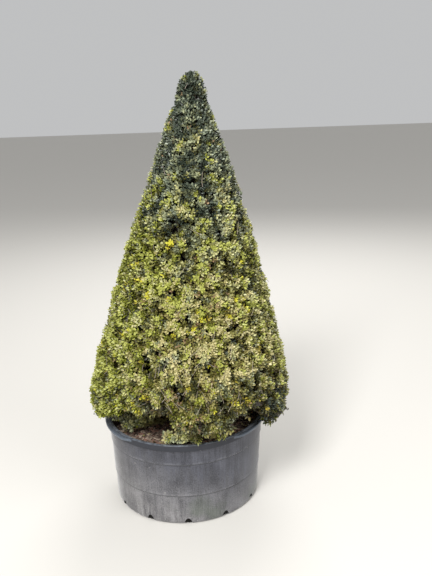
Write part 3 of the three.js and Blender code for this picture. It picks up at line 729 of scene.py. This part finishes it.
def soil_surface(points):
    """The height of the lumpy surface under each point."""
    flat = np.array(points, float)
    flat[:, 2] = 0
    lumps = value_noise(flat, SOIL_LUMP_SIZE, 71) + 0.5 * value_noise(flat, SOIL_LUMP_SIZE / 3, 72) - 1.25
    return soil_height(np.hypot(flat[:, 0], flat[:, 1])) + SOIL_LUMP * lumps


def strewn(count, inset, rng):
    """Places strewn evenly over the potting mix, an inset away from the pot's wall."""
    reach = pot_inner_radius(SOIL_EDGE_HEIGHT) - inset
    return polar(rng.random(count) * TURN, reach * np.sqrt(rng.random(count)), 0)


def potting_bark():
    """Composted pine bark and peat: damp, matt and crumbly, brown with darker pits a few mm across."""
    material, shader, add = start_material("composted_bark_mix", 0.95)
    place = add("TexCoord", output="Object")
    crumb = add("SeparateColor", (add("TexVoronoi", {"Vector": place, "Scale": 1 / 0.007}, output="Color"),))
    pits = add("TexNoise", {"Vector": place, "Scale": 1 / 0.012, "Detail": 6.0})
    pitted = add("MapRange", (pits, 0.6, 0.35, 0.0, 0.8))
    # Deep in the pot, where the drain notches show it, the mix is painted black as the shade in there.
    deep = add("MapRange", (add("SeparateXYZ", (place,), output="Z"), 0.06, 0.03))
    colour = coated(add, "#6A5A4E", (crumb, "#A08B7A"), (pitted, "#463A32"), (deep, "#0E0C0A"))
    bump = add("Bump", {"Height": pits, "Strength": 0.9, "Distance": 0.003})
    set_inputs(shader, {"Base Color": colour, "Normal": bump})
    return material


def bark_chip(name, hex_colour):
    """A chip of pine bark: dry, matt, with a fibrous grain about 2 mm apart."""
    material, shader, add = start_material(name, 0.88)
    place = add("TexCoord", output="Object")
    grain = add("TexNoise", {"Vector": place, "Scale": 1 / 0.004, "Detail": 3.0})
    darkening = 0.55
    darker = tuple(darkening * c for c in linear(hex_colour)[:3]) + (1.0,)
    bump = add("Bump", {"Height": grain, "Strength": 0.6, "Distance": 0.001})
    set_inputs(shader, {"Base Color": coated(add, darker, (grain, hex_colour)), "Normal": bump})
    return material


def chip_shapes(count, rng):
    """Flat bark chips strewn over the potting mix, each a skewed slab of twelve faces."""
    centre = strewn(count, 0.018, rng)
    length = rng.uniform(*CHIP_LENGTH, count)
    width, thickness = length * rng.uniform(0.3, 0.6, count), length * rng.uniform(0.12, 0.25, count)
    size = np.column_stack([length, width, thickness])
    centre[:, 2] = soil_surface(centre) + 0.3 * thickness
    corners = np.array(list(itertools.product((-0.5, 0.5), repeat=3)))
    local = corners[None] * size[:, None] * rng.uniform(0.6, 1.1, (count, 8, 3))
    tilt = [rng.normal(0, CHIP_TILT, count) for _ in range(2)]
    up = unit(np.column_stack([*tilt, np.ones(count)]))
    along = unit(np.cross(up, polar(rng.random(count) * TURN, 1, 0)))
    points = centre[:, None] + local @ np.stack([along, np.cross(up, along), up], axis=1)
    block = [(0, 1, 3), (0, 3, 2), (4, 7, 5), (4, 6, 7), (0, 5, 1), (0, 4, 5)]
    block += [(2, 3, 7), (2, 7, 6), (0, 2, 6), (0, 6, 4), (1, 5, 7), (1, 7, 3)]
    return points.reshape(-1, 3), repeated(block, count, 8)


def make_potting_mix(rng):
    edge = pot_inner_radius(SOIL_EDGE_HEIGHT) - SOIL_WALL_GAP
    floor_edge = pot_inner_radius(SOIL_BOTTOM) - SOIL_WALL_GAP
    side = [(LATHE_START, SOIL_BOTTOM), (floor_edge, SOIL_BOTTOM), (edge, SOIL_EDGE_HEIGHT)]
    above = 1.0
    top = [(r, above) for r in np.linspace(edge - 0.002, 0.003, SOIL_RINGS)]
    points, faces = lathed([*side, *top], SOIL_SEGMENTS)
    surface = points[:, 2] == above
    points[surface, 2] = soil_surface(points[surface])
    mix = mesh_piece("potting_mix_surface", out_of_round(points), faces, potting_bark())
    settle(mix, "potting_mix", "potting_mix")
    for kind, (colour, count) in BARK_CHIPS.items():
        name = f"bark_chips_{kind}"
        chips = mesh_piece(name, *chip_shapes(count, rng), bark_chip(name, colour), CHIP_EDGE)
        settle(chips, "potting_mix")


# Trunk and boughs


def boxwood_bark():
    """Old boxwood bark: corky and matt, pale tan-grey, split into small plates by darker cracks."""
    material, shader, add = start_material("corky_boxwood_bark", 0.9)
    place = add("TexCoord", output="Object")
    # Plates are about 5 mm wide and three times as long.
    stretched = add("VectorMath", (place, (1 / 0.005, 1 / 0.005, 1 / 0.016)), operation="MULTIPLY")
    plates = {"Vector": stretched, "Scale": 1.0}
    crack = add("TexVoronoi", plates, output="Distance", feature="DISTANCE_TO_EDGE")
    crack = add("MapRange", (crack, 0.0, 0.16))
    mottle = add("TexNoise", {"Vector": place, "Scale": 1 / 0.03, "Detail": 4.0})
    pale = coated(add, "#85765F", (mottle, "#ADA08A"))
    bump = add("Bump", {"Height": crack, "Strength": 0.8, "Distance": 0.0012})
    set_inputs(shader, {"Base Color": coated(add, "#4C4136", (crack, pale)), "Normal": bump})
    return material


def trunk_radius(height):
    share = (height - TRUNK_FOOT) / (TRUNK_TOP - TRUNK_FOOT)
    taper = TRUNK_RADIUS + (TRUNK_TOP_RADIUS - TRUNK_RADIUS) * share**TRUNK_TAPER_POWER
    flare = np.clip(1 - (height - TRUNK_FOOT) / TRUNK_FLARE_HEIGHT, 0, None)
    return taper + TRUNK_FLARE * flare**2


def make_trunk(bark):
    heights = TRUNK_FOOT + (TRUNK_TOP - TRUNK_FOOT) * np.linspace(0, 1, TRUNK_RINGS) ** 1.2
    points, faces = lathed(np.column_stack([trunk_radius(heights), heights]), TRUNK_SEGMENTS)
    radius = np.maximum(np.hypot(points[:, 0], points[:, 1]), 1e-4)
    # Plates of bark stand out by up to a millimetre and a half, and the flare has ribs over the roots.
    plates = value_noise(points * (1, 1, 0.35), BARK_PLATE_SIZE, 31)
    plates = plates + 0.6 * value_noise(points * (1, 1, 0.3), 0.0025, 32)
    azimuth = np.arctan2(points[:, 1], points[:, 0])
    ribs = np.cos(ROOT_RIBS * azimuth + 1) * np.clip((radius - TRUNK_RADIUS) / TRUNK_FLARE, 0, 1)
    grown = np.where(radius > 0.001, 1 + (0.0015 * (plates - 1.3) + 0.002 * (ribs - 1)) / radius, 1)
    points[:, :2] *= grown[:, None]
    settle(mesh_piece("trunk_bark", leaned(points), faces, bark), "bark", "trunk")


def sector_azimuth(tier, sector):
    return tier["turn"] + (sector + 0.5) / tier["sectors"] * TURN


def bough_curve(tier, sector):
    """Start at the fork, bend, and end where the bough enters its mass."""
    azimuth = sector_azimuth(tier, sector)
    end = tier["low"] + (tier["high"] - tier["low"]) * BOUGH_END_SHARE
    fork = tier["fork"] + FORK_STAGGER * (sector % FORK_STAGGER_STEPS)
    return (
        polar(azimuth, 0, fork),
        polar(azimuth, tier["hollow"] * BOUGH_BEND_OUT, fork + (end - fork) * BOUGH_BEND_UP),
        polar(azimuth, tier["hollow"] - BOUGH_END_GAP, end),
    )


def make_boughs(bark):
    for tier in TIERS:
        stems = [np.array(part) for part in zip(*(bough_curve(tier, s) for s in range(tier["sectors"])))]
        points, faces = limbs(stems, tier["bough"], tier["bough"] * BOUGH_TAPER, BOUGH_SIDES, BOUGH_STEPS)
        shares = np.broadcast_to(np.linspace(0, 1, BOUGH_STEPS + 1), (tier["sectors"], BOUGH_STEPS + 1))
        axis, _ = bezier(stems, shares)
        centres = np.concatenate([np.repeat(axis[:, :-1], BOUGH_SIDES, axis=1), axis[:, -1:]], axis=1)
        away = points - centres.reshape(-1, 3)
        plates = 0.0010 * (value_noise(points, BARK_PLATE_SIZE, 33) - 0.5)
        points = points + unit(away) * (plates * (np.linalg.norm(away, axis=1) > 1e-5))[:, None]
        nodes = [f"{tier['name']}_bough_{sector + 1}" for sector in range(tier["sectors"])]
        settle(mesh_piece(f"{tier['name']}_boughs", leaned(points), faces, bark), "bark", *nodes)


# Growth from the boughs out to the leaves


def masses():
    """Each mass: its sector, its height, and the stem that its bough or the trunk hands over to."""
    found = []
    for tier in TIERS:
        for sector in range(tier["sectors"]):
            _, bend, end = bough_curve(tier, sector)
            mass = dict(name=f"{tier['name']}_foliage_{sector + 1}", low=tier["low"], high=tier["high"])
            mass.update(azimuth=sector_azimuth(tier, sector), width=TURN / tier["sectors"])
            mass.update(start=end, heading=unit(end - bend), radius=tier["bough"] * BOUGH_TAPER)
            found.append(mass)
    tip = dict(name="tip_foliage", azimuth=0.0, width=TURN, low=TIP_LOW, high=CROWN_TOP)
    tip.update(start=np.array((0.0, 0.0, TRUNK_TOP)), heading=np.array((0.0, 0.0, 1.0)))
    return [*found, dict(tip, radius=TRUNK_TOP_RADIUS)]


def branch_scale(height):
    share = crown_radius(height) / CROWN_RADIUS
    return BRANCH_SCALE_AT_TIP + (BRANCH_SCALE_AT_HEM - BRANCH_SCALE_AT_TIP) * share


def outward_at(azimuth, height):
    step = 0.005
    slope = (crown_radius(height + step) - crown_radius(height - step)) / (2 * step)
    return unit(polar(azimuth, 1, -slope))


def branches_of(mass, rng):
    """A mass's branches: from its stem to places in level rows on the outline, turning square to it."""
    middle = (mass["low"] + mass["high"]) / 2
    rows = round((mass["high"] - mass["low"]) / (BRANCH_SPACING * branch_scale(middle)))
    row_height = (mass["high"] - mass["low"]) / rows
    azimuths, heights = [], []
    for row in range(rows):
        height = mass["low"] + (row + 0.5) * row_height
        spacing = BRANCH_SPACING * branch_scale(height)
        columns = max(2, round(mass["width"] * crown_radius(height) / spacing))
        place = (np.arange(columns) + 0.5 + rng.uniform(-0.3, 0.3, columns)) / columns - 0.5
        azimuths.append(mass["azimuth"] + place * mass["width"])
        heights.append(height + rng.uniform(-0.16, 0.16, columns) * row_height)
    azimuth, height = np.concatenate(azimuths), np.concatenate(heights)
    height += BRANCH_LIFT * hem_rise(azimuth) * (mass["low"] == HEM_HEIGHT) * (height < WIDEST_HEIGHT)
    outward = outward_at(azimuth, height)
    margin = (BRANCH_MARGIN * branch_scale(height))[:, None]
    end = polar(azimuth, crown_radius(height), height) - outward * margin
    start = mass["start"] + mass["heading"] * STEM_REACH * rng.random((len(azimuth), 1))
    from_stem = unit(end - start)
    heading = unit(from_stem * (1 - SQUARE_SHARE) + outward * SQUARE_SHARE)
    bend = end - heading * BRANCH_BEND * np.linalg.norm(end - start, axis=1, keepdims=True)
    return start, bend, end


def nearest(places, targets):
    """For each target, the index of the nearest place."""
    tree = kdtree.KDTree(len(places))
    for index, place in enumerate(places):
        tree.insert(place, index)
    tree.balance()
    return np.array([tree.find(target)[1] for target in targets])


def grow_on(parents, places, outward, margin, share, rng):
    """Finer limbs, one to each place a margin inside the outline, each from the parent that ends nearest.

    They leave it at a share of its length within the range given, and turn outwards and a little up.
    """
    end = places - outward * margin[:, None]
    parent = nearest(parents[2], end)
    at = rng.uniform(*share, len(end))[:, None]
    start = bezier([p[parent] for p in parents], at)[0][:, 0]
    reach = np.linalg.norm(end - start, axis=1, keepdims=True)
    heading = unit(end - start) * 0.5 + outward * 0.5 + rng.normal(0, 0.16, end.shape)
    heading[:, 2] += UP_TURN
    bend = end - unit(heading) * FINE_BEND * reach
    return start, bend, end


def leaf_roots(curves, pairs):
    """Where each pair of leaves sits, from a sprig's tip down: (root, heading, sprig, pair)."""
    length = sum(np.linalg.norm(after - before, axis=1) for before, after in zip(curves, curves[1:]))
    pair_numbers = np.arange(int(pairs.max()))[None, :]
    share = 1 - (pair_numbers * INTERNODE + 0.001) / length[:, None]
    kept = (pair_numbers < pairs[:, None]) & (share > 0.06)
    sprig, pair = np.nonzero(kept)
    root, heading = bezier([c[sprig] for c in curves], share[kept][:, None])
    return root[:, 0], heading[:, 0], sprig, pair


def paired_leaves(root, heading, age, roll, size, rng):
    """Two leaves at each root, across from each other and crossed with the next pair: six points a leaf."""
    side = sideways_of(heading)
    turn = (roll + age * math.pi / 2 + rng.normal(0, 0.2, len(root)))[:, None]
    side = side * np.cos(turn) + np.cross(heading, side) * np.sin(turn)
    root, heading, age, size = (np.repeat(a, 2, axis=0) for a in (root, heading, age, size))
    side = np.repeat(side, 2, axis=0) * np.tile((1.0, -1.0), len(side))[:, None]
    spread = np.radians(np.interp(age, (0, 1, 3), (30, 50, 68)) + rng.normal(0, 9, len(age)))[:, None]
    blade_heading = unit(heading * np.cos(spread) + side * np.sin(spread))
    level = unit(np.cross(heading, side))
    raised = np.cross(blade_heading, level)
    twist = rng.normal(0, 0.3, len(age))[:, None]
    across, upper = (
        level * np.cos(twist) + raised * np.sin(twist),
        raised * np.cos(twist) - level * np.sin(twist),
    )
    length = size * np.interp(age, (0, 1, 3), (0.82, 1.0, 1.0)) * rng.uniform(0.86, 1.12, len(age))
    local = LEAF_BLADE[None] * length[:, None, None]
    points = root[:, None] + local[..., :1] * across[:, None]
    return points + local[..., 1:2] * blade_heading[:, None] + local[..., 2:] * upper[:, None]


def clear_of_pot(points):
    """Which leaves keep clear of the pot, its lip and the potting mix."""
    radius = np.hypot(points[..., 0], points[..., 1])
    height = points[..., 2]
    inside, outside = pot_inner_radius(POT_HEIGHT) - 0.004, pot_wall_radius(POT_HEIGHT) + COLLAR_OUT
    over_pot = radius < outside + HANDLE_OUT + 0.003
    in_wall = (height < POT_HEIGHT + 0.0015) & over_pot & (radius > inside)
    in_soil = (height < SOIL_CROWN_HEIGHT) & over_pot & (height < soil_height(radius) + 0.002)
    return ~(in_wall | in_soil).any(axis=-1)


# Colours of the foliage


def hem_looseness_and_shade(azimuth, height):
    """How far the lowest sprigs in front hang loose, and how far they are painted in the crown's shade."""
    front = near(azimuth, -80, 110) * smoothed(height, 0.66, 0.50)
    return front + 0.7 * near(azimuth, -50, 30) * smoothed(height, 0.68, 0.58)


def family_weights(azimuth, height):
    """How strongly each family of leaves shows at each place, in the order of LEAF_FAMILIES."""
    crest = smoothed(height, 1.00, 1.38)
    damp = near(azimuth, -28, 30) * smoothed(height, 0.52, 0.44)
    low = smoothed(height, 1.10, 0.62)
    painted_hem_shade = hem_looseness_and_shade(azimuth, height)
    # Slate over the crest and on the low clump at the right is painted shade.
    slate = 0.02 + 2.2 * smoothed(height, 1.08, 1.50) + 4.0 * damp
    # Green on the hem in front, with less straw there, is painted shade.
    green = 0.28 + 1.0 * smoothed(height, 0.98, 1.25) + 1.6 * painted_hem_shade
    olive = 0.75 * (1 - 0.85 * crest)
    straw = 0.04 + 1.6 * near(azimuth, -70, 84) * low * (1 - 0.5 * np.minimum(painted_hem_shade, 1))
    # Lime on the left flank is partly new growth and partly painted light.
    lime = (0.32 + 2.0 * near(azimuth, -172, 84) + 0.5 * near(azimuth, 0, 60)) * (1 - 0.88 * crest)
    return np.column_stack([slate, green, olive, straw, lime])


def dealt_families(azimuth, places, standing, rng):
    """A family for each sprig, by its part of the crown: older, darker ones between tufts, also as painted
    shade, younger ones on them.
    """
    steps = np.cumsum(family_weights(azimuth, places[:, 2]), axis=1)
    patches = 0.5 * value_noise(places, 0.030, 51) + 0.35 * standing + 0.4 * rng.random(len(places))
    return (ranked(patches)[:, None] * steps[:, -1:] > steps).sum(axis=1)


def tone_shift(azimuth, height):
    """How much darker, as a share of a tuft's height, leaves are at each place than the families' mean:
    painted shade on the hem in front, a little darker on the left flank, painted light in a belt across the
    front.
    """
    belt = near(azimuth, -88, 60) * smoothed(height, 0.60, 0.72) * smoothed(height, 1.15, 0.98)
    return 0.42 * hem_looseness_and_shade(azimuth, height) + 0.07 * near(azimuth, -172, 70) - 0.16 * belt


def leaf_names(family, tuft, accent, age, rng):
    """The name of each leaf's kind: its family, darker with age and in low tufts, where the darkening is
    also painted shade in the hollows; or yellow or bronze.
    """
    level = age * 0.6 + (1 - tuft) * 2.5 + rng.normal(0, 0.3, len(age))
    level = np.clip(level, 0, len(LEAF_TONES) - 1).astype(int)
    names = np.array([[f"{kind}_{tone}" for tone in LEAF_TONES] for kind in LEAF_FAMILIES])[family, level]
    names = np.where((accent == 1) & (level < 2), "yellow", names)
    names = np.where((accent == 1) & (level == 2), "gold", names)
    return np.where((accent == 2) & (level > 0) & (level < 3), "bronze", names)


def boxwood_leaf(name, hex_colour, wax):
    """A boxwood leaf: leathery, with a waxed upper side that throws back a soft pale sheen."""
    coat = {"Base Color": hex_colour, "Coat Weight": wax, "Coat Roughness": 0.4}
    return start_material(name, 0.42, **coat)[0]


def young_wood(name, hex_colour):
    """The smooth skin of shoots and twigs: thin, dry and matt."""
    return start_material(name, 0.75, **{"Base Color": hex_colour})[0]


def low_shoots(rng):
    """Suckers from the trunk's foot, which run out under the hem and come up by the pot's lip."""
    curves = []
    for count, azimuths, reaches, bend_height, tops in LOW_SHOOTS:
        azimuth = np.radians(rng.uniform(*azimuths, count))
        reach, top = rng.uniform(*reaches, count), rng.uniform(*tops, count)
        bend = polar(azimuth + rng.normal(0, 0.06, count), reach * 0.94, bend_height)
        curves.append((polar(azimuth, *LOW_SHOOT_FOOT), bend, polar(azimuth, reach, top)))
    return gathered(curves)


def fallen_leaves(rng):
    """Leaves that have dropped on the potting mix, lying nearly flat: six points a leaf."""
    place = strewn(FALLEN_LEAVES, 0.02, rng)
    place[:, 2] = soil_surface(place) + 0.0035
    up = unit(np.column_stack([rng.normal(0, 0.25, (FALLEN_LEAVES, 2)), np.ones(FALLEN_LEAVES)]))
    along = unit(np.cross(up, polar(rng.random(FALLEN_LEAVES) * TURN, 1, 0)))
    basis = np.stack([np.cross(along, up), along, up], axis=1)
    local = LEAF_BLADE[None] * rng.uniform(*LOW_SHOOT_LEAF, FALLEN_LEAVES)[:, None, None]
    return place[:, None] + local @ basis


def bare_twigs(rng):
    """Dead twigs left bare by the shears: they lie along the surface, most upright and low in front."""
    azimuth, places, outward = outline_places(BARE_SPACING, rng)
    chance = 0.04 + 0.48 * near(azimuth, -85, 80) * smoothed(places[:, 2], 1.0, 0.55)
    kept = (rng.random(len(places)) < chance) & (places[:, 2] > BARE_LOWEST)
    azimuth, places, outward = azimuth[kept], places[kept], outward[kept]
    count = len(places)
    sideways = polar(azimuth + math.pi / 2, 1, 0)
    upwards = np.cross(outward, sideways)
    upwards *= np.sign(upwards[:, 2:])
    aside, out = rng.normal(0, 0.7, (count, 1)), rng.normal(0.2, 0.2, (count, 1))
    along = unit(upwards + sideways * aside + outward * out)
    length = rng.uniform(*BARE_LENGTH, count)[:, None]
    end = places - outward * rng.uniform(0.002, 0.012, count)[:, None]
    start = end - along * length
    bend = (start + end) / 2 + rng.normal(0, 0.08, (count, 3)) * length
    return start, bend, end


def slimmed(places):
    """A share that thins depths and margins where the crown itself is slender."""
    return np.clip(np.hypot(places[:, 0], places[:, 1]) / SLENDER_RADIUS, 0.3, 1)


def outer_sprigs(branchlets, rng):
    """The sprigs on tufts that stand out from hollows, in the form that grown_sprigs gives."""
    azimuth, places, outward = outline_places(SPRIG_SPACING, rng)
    relief = value_noise(places, TUFT_SIZE, 42)
    hollows = HOLLOW_SHARE + HEM_HOLLOWS * hem_looseness_and_shade(azimuth, places[:, 2])
    keep = (ranked(relief) > hollows) | (rng.random(len(places)) < HOLLOW_SPRIGS)
    azimuth, places, outward, relief = azimuth[keep], places[keep], outward[keep], relief[keep]
    count, height = len(places), places[:, 2]
    tuft = ranked(relief + 0.22 * rng.random(count))
    clumps = value_noise(places, CLUMP_SIZE, 41) - 0.45
    depth = SPRIG_MARGIN + TUFT_DEPTH * (1 - tuft) + CLUMP_DEPTH * clumps
    sprigs = grow_on(branchlets, places, outward, depth * slimmed(places), (0.55, 1.0), rng)
    family = dealt_families(azimuth, places, tuft, rng)
    flush = ranked(value_noise(places, 0.026, 53) + 0.15 * rng.random(count))
    yellowed = flush > 1 - YELLOW_SHARE * (1 - smoothed(height, 0.95, 1.30))
    scorched = BRONZE_SHARE * (1 + 3 * near(azimuth, -88, 45) * smoothed(height, 1.2, 0.9))
    accent = np.where(yellowed, 1, np.where(rng.random(count) < scorched, 2, 0))
    # The crest, painted as in shade, is more even.
    even = CREST_EVENNESS * smoothed(height, 1.25, 1.48)
    tuft = np.clip(tuft + (0.5 - tuft) * even - tone_shift(azimuth, height), 0, 1)
    return sprigs, outward, family, tuft, accent, np.ones(count)


def inner_sprigs(branchlets, spacing, depths, gain, rng):
    """A deeper layer of sprigs, in the same form. One of large leaves keeps off the crown's underside."""
    azimuth, places, outward = outline_places(spacing, rng)
    sides = (outward * unit(places * (1, 1, 0))).sum(axis=1) > (0.3 if gain > 1 else -2)
    azimuth, places, outward = azimuth[sides], places[sides], outward[sides]
    count = len(places)
    depth = rng.uniform(*depths, count) * slimmed(places)
    curves = grow_on(branchlets, places, outward, depth, (0.15, 0.7), rng)
    family = dealt_families(azimuth, places, rng.random(count), rng)
    return curves, outward, family, np.full(count, -1.0), np.zeros(count, int), np.full(count, gain)


def grown_sprigs(branchlets, rng):
    """All the sprigs: their curves, how they face, their family of leaves, their tuft's height from 0 to 1,
    or -1 inside the crown, the accent, and how much larger than life the leaves are."""
    layers = [outer_sprigs(branchlets, rng)]
    layers += [inner_sprigs(branchlets, *layer, rng) for layer in INNER_LAYERS]
    curves, *dealt = zip(*layers)
    return gathered(curves), *gathered(zip(*dealt))


def leaves_along(curves, pairs, lengths, rng, facing=None, gain=1.0):
    """Leaves in pairs along sprigs, turned towards where these face: points, sprig and age from the tip."""
    count = len(curves[0])
    root, heading, sprig, age = leaf_roots(curves, rng.integers(*pairs, count, endpoint=True))
    if facing is not None:
        heading = unit(0.4 * heading + 0.6 * facing[sprig] + (0, 0, UP_TURN * 0.5))
    roll, size = rng.random(count) * math.pi, rng.uniform(*lengths, count) * gain
    points = paired_leaves(root, heading, np.minimum(age, 3), roll[sprig], size[sprig], rng)
    return points, np.repeat(sprig, 2), np.repeat(age, 2)


def make_leaves(sprigs, facing, family, tuft, accent, gain, shoots, foliage, rng):
    """All the leaves, as one joined mesh for each kind."""
    points, sprig, age = leaves_along(sprigs, PAIRS, LEAF_LENGTH, rng, facing, gain)
    names = leaf_names(family[sprig], np.maximum(tuft[sprig], 0), accent[sprig], age, rng)
    shaded = (tuft[sprig] < 0) & (rng.random(len(sprig)) < gain[sprig] - 0.4)
    crown = (points, np.where(shaded, "shade", names))

    points, sprig, age = leaves_along(shoots, LOW_SHOOT_PAIRS, LOW_SHOOT_LEAF, rng)
    # The suckers' leaves take light tones: fresh growth, and painted light where the hem shades them.
    family, tuft = rng.integers(1, len(LEAF_FAMILIES), len(shoots[0])), rng.uniform(0.7, 1, len(shoots[0]))
    names = leaf_names(family[sprig], tuft[sprig], np.zeros(len(sprig)), age * 0.3, rng)
    points, names = gathered([crown, (points, names)])
    clear = clear_of_pot(points)
    fallen = fallen_leaves(rng)
    dropped = rng.choice(list(FALLEN_KINDS), len(fallen), p=list(FALLEN_KINDS.values()))
    points, names = gathered([(points[clear], names[clear]), (fallen, dropped)])
    families = LEAF_FAMILIES.items()
    colours = {f"{kind}_{tone}": colour for kind, row in families for tone, colour in zip(LEAF_TONES, row)}
    for name, colour in {**colours, **OTHER_LEAVES}.items():
        mine, outline = points[names == name], LEAF_FACES
        if name == "shade":
            mine, outline = mine[:, SHADE_CORNERS], SHADE_FACES
        faces = repeated(outline, len(mine), mine.shape[1])
        leaf = boxwood_leaf(f"boxwood_leaf_{name}", colour, LEAF_WAX.get(name.split("_")[-1], LEAST_WAX))
        settle(mesh_piece(f"leaves_{name}", mine.reshape(-1, 3), faces, leaf), "foliage", *foliage)


def make_crown(rng):
    """The crown, grown on from its boughs: stems, branches, branchlets, sprigs and leaves."""
    every_mass = masses()
    foliage = [mass["name"] for mass in every_mass]
    branches = gathered(branches_of(mass, rng) for mass in every_mass)
    wanted = ("start", "heading", "radius")
    starts, headings, radii = (np.array([mass[key] for mass in every_mass]) for key in wanted)
    ends = starts + headings * STEM_REACH
    stems = leaned_curves((starts, (starts + ends) / 2, ends))

    _, places, outward = outline_places(BRANCHLET_SPACING, rng)
    margin = BRANCHLET_MARGIN * slimmed(places)
    branchlets = grow_on(branches, places, outward, margin, (0.35, 0.95), rng)
    sprigs, *dealt = grown_sprigs(branchlets, rng)
    branches, branchlets = leaned_curves(branches), leaned_curves(branchlets)
    start, _, end = leaned_curves(sprigs)
    sprigs = [start, (start + end) / 2, end]
    shoots = leaned_curves(low_shoots(rng))
    make_leaves(sprigs, *dealt, shoots, foliage, rng)

    twig = young_wood("grey_boxwood_twig", "#8A7C66")
    shoot = young_wood("green_boxwood_shoot", "#8F8657")
    dead = young_wood("dead_boxwood_twig", "#9E9384")
    thick = [limbs(stems, radii, radii * STEM_TAPER, 8, 6)]
    thick.append(limbs(branches, BRANCH_RADIUS, BRANCHLET_RADIUS, 6, 10))
    for name, wood, shapes in (
        ("branches", twig, thick),
        ("branchlets", twig, [limbs(branchlets, BRANCHLET_RADIUS, SPRIG_RADIUS, 4, 5)]),
        ("sprig_stems", shoot, [limbs(sprigs, SPRIG_RADIUS, 0.0, 3, 1)]),
        ("low_shoot_stems", shoot, [limbs(shoots, SPRIG_RADIUS * 1.5, SPRIG_RADIUS, 5, 10)]),
        ("bare_twigs", dead, [limbs(leaned_curves(bare_twigs(rng)), BARE_RADIUS, BARE_RADIUS * 0.5, 4, 4)]),
    ):
        settle(mesh_piece(name, *joined(*shapes), wood), "bark", *foliage)


# Studio


def make_studio():
    """A plain pale floor, and soft light from all round with more from the upper left."""
    surface = start_material("pale_studio_floor", 0.9, **{"Base Color": "#CFCCC6"})[0]
    reach, under, aim = 30.0, -0.0005, Vector((0, 0, 0.8))
    corners = [(x * reach, y * reach, under) for x, y in ((-1, -1), (1, -1), (1, 1), (-1, 1))]
    floor = mesh_piece("studio_floor", corners, [(0, 1, 2, 3)], surface)
    world = bpy.data.worlds.new("studio_air")
    bpy.context.scene.world = world
    world.use_nodes = True
    set_inputs(world.node_tree.nodes["Background"], {"Color": "#EDEEEF", "Strength": 0.62})
    for name, place, size, power in (
        ("key_light", (-1.5, -4.3, 4.8), 1.8, 430),
        ("fill_light", (3.4, -2.8, 2.6), 3.0, 90),
        ("back_light", (0.8, 4.0, 4.2), 3.0, 160),
    ):
        lamp = bpy.data.lights.new(name, "AREA")
        lamp.size = size
        lamp.energy = power
        light = bpy.data.objects.new(name, lamp)
        bpy.context.scene.collection.objects.link(light)
        light.location = place
        light.rotation_euler = (aim - Vector(place)).to_track_quat("-Z", "Y").to_euler()


def make_camera():
    """The camera stands where the photograph was taken from, under three metres off at head height."""
    focal_pixels, long_side_pixels, sensor = 690, 576, 36.0
    lens = bpy.data.cameras.new("camera")
    lens.sensor_width = sensor
    lens.lens = focal_pixels * sensor / long_side_pixels
    camera = bpy.data.objects.new("camera", lens)
    bpy.context.scene.collection.objects.link(camera)
    place, tilt_down, roll = (0.152, -2.69, 1.645), math.radians(15.75), math.radians(-2)
    turn = Matrix.Rotation(math.pi / 2 - tilt_down, 4, "X") @ Matrix.Rotation(roll, 4, "Z")
    camera.matrix_world = Matrix.Translation(place) @ turn
    bpy.context.scene.camera = camera


make_camera()
make_studio()
bpy.context.scene.view_settings.view_transform = "Standard"
make_pot()
make_potting_mix(np.random.default_rng(SEED))
bark = boxwood_bark()
make_trunk(bark)
make_boughs(bark)
make_crown(np.random.default_rng(SEED + 1))
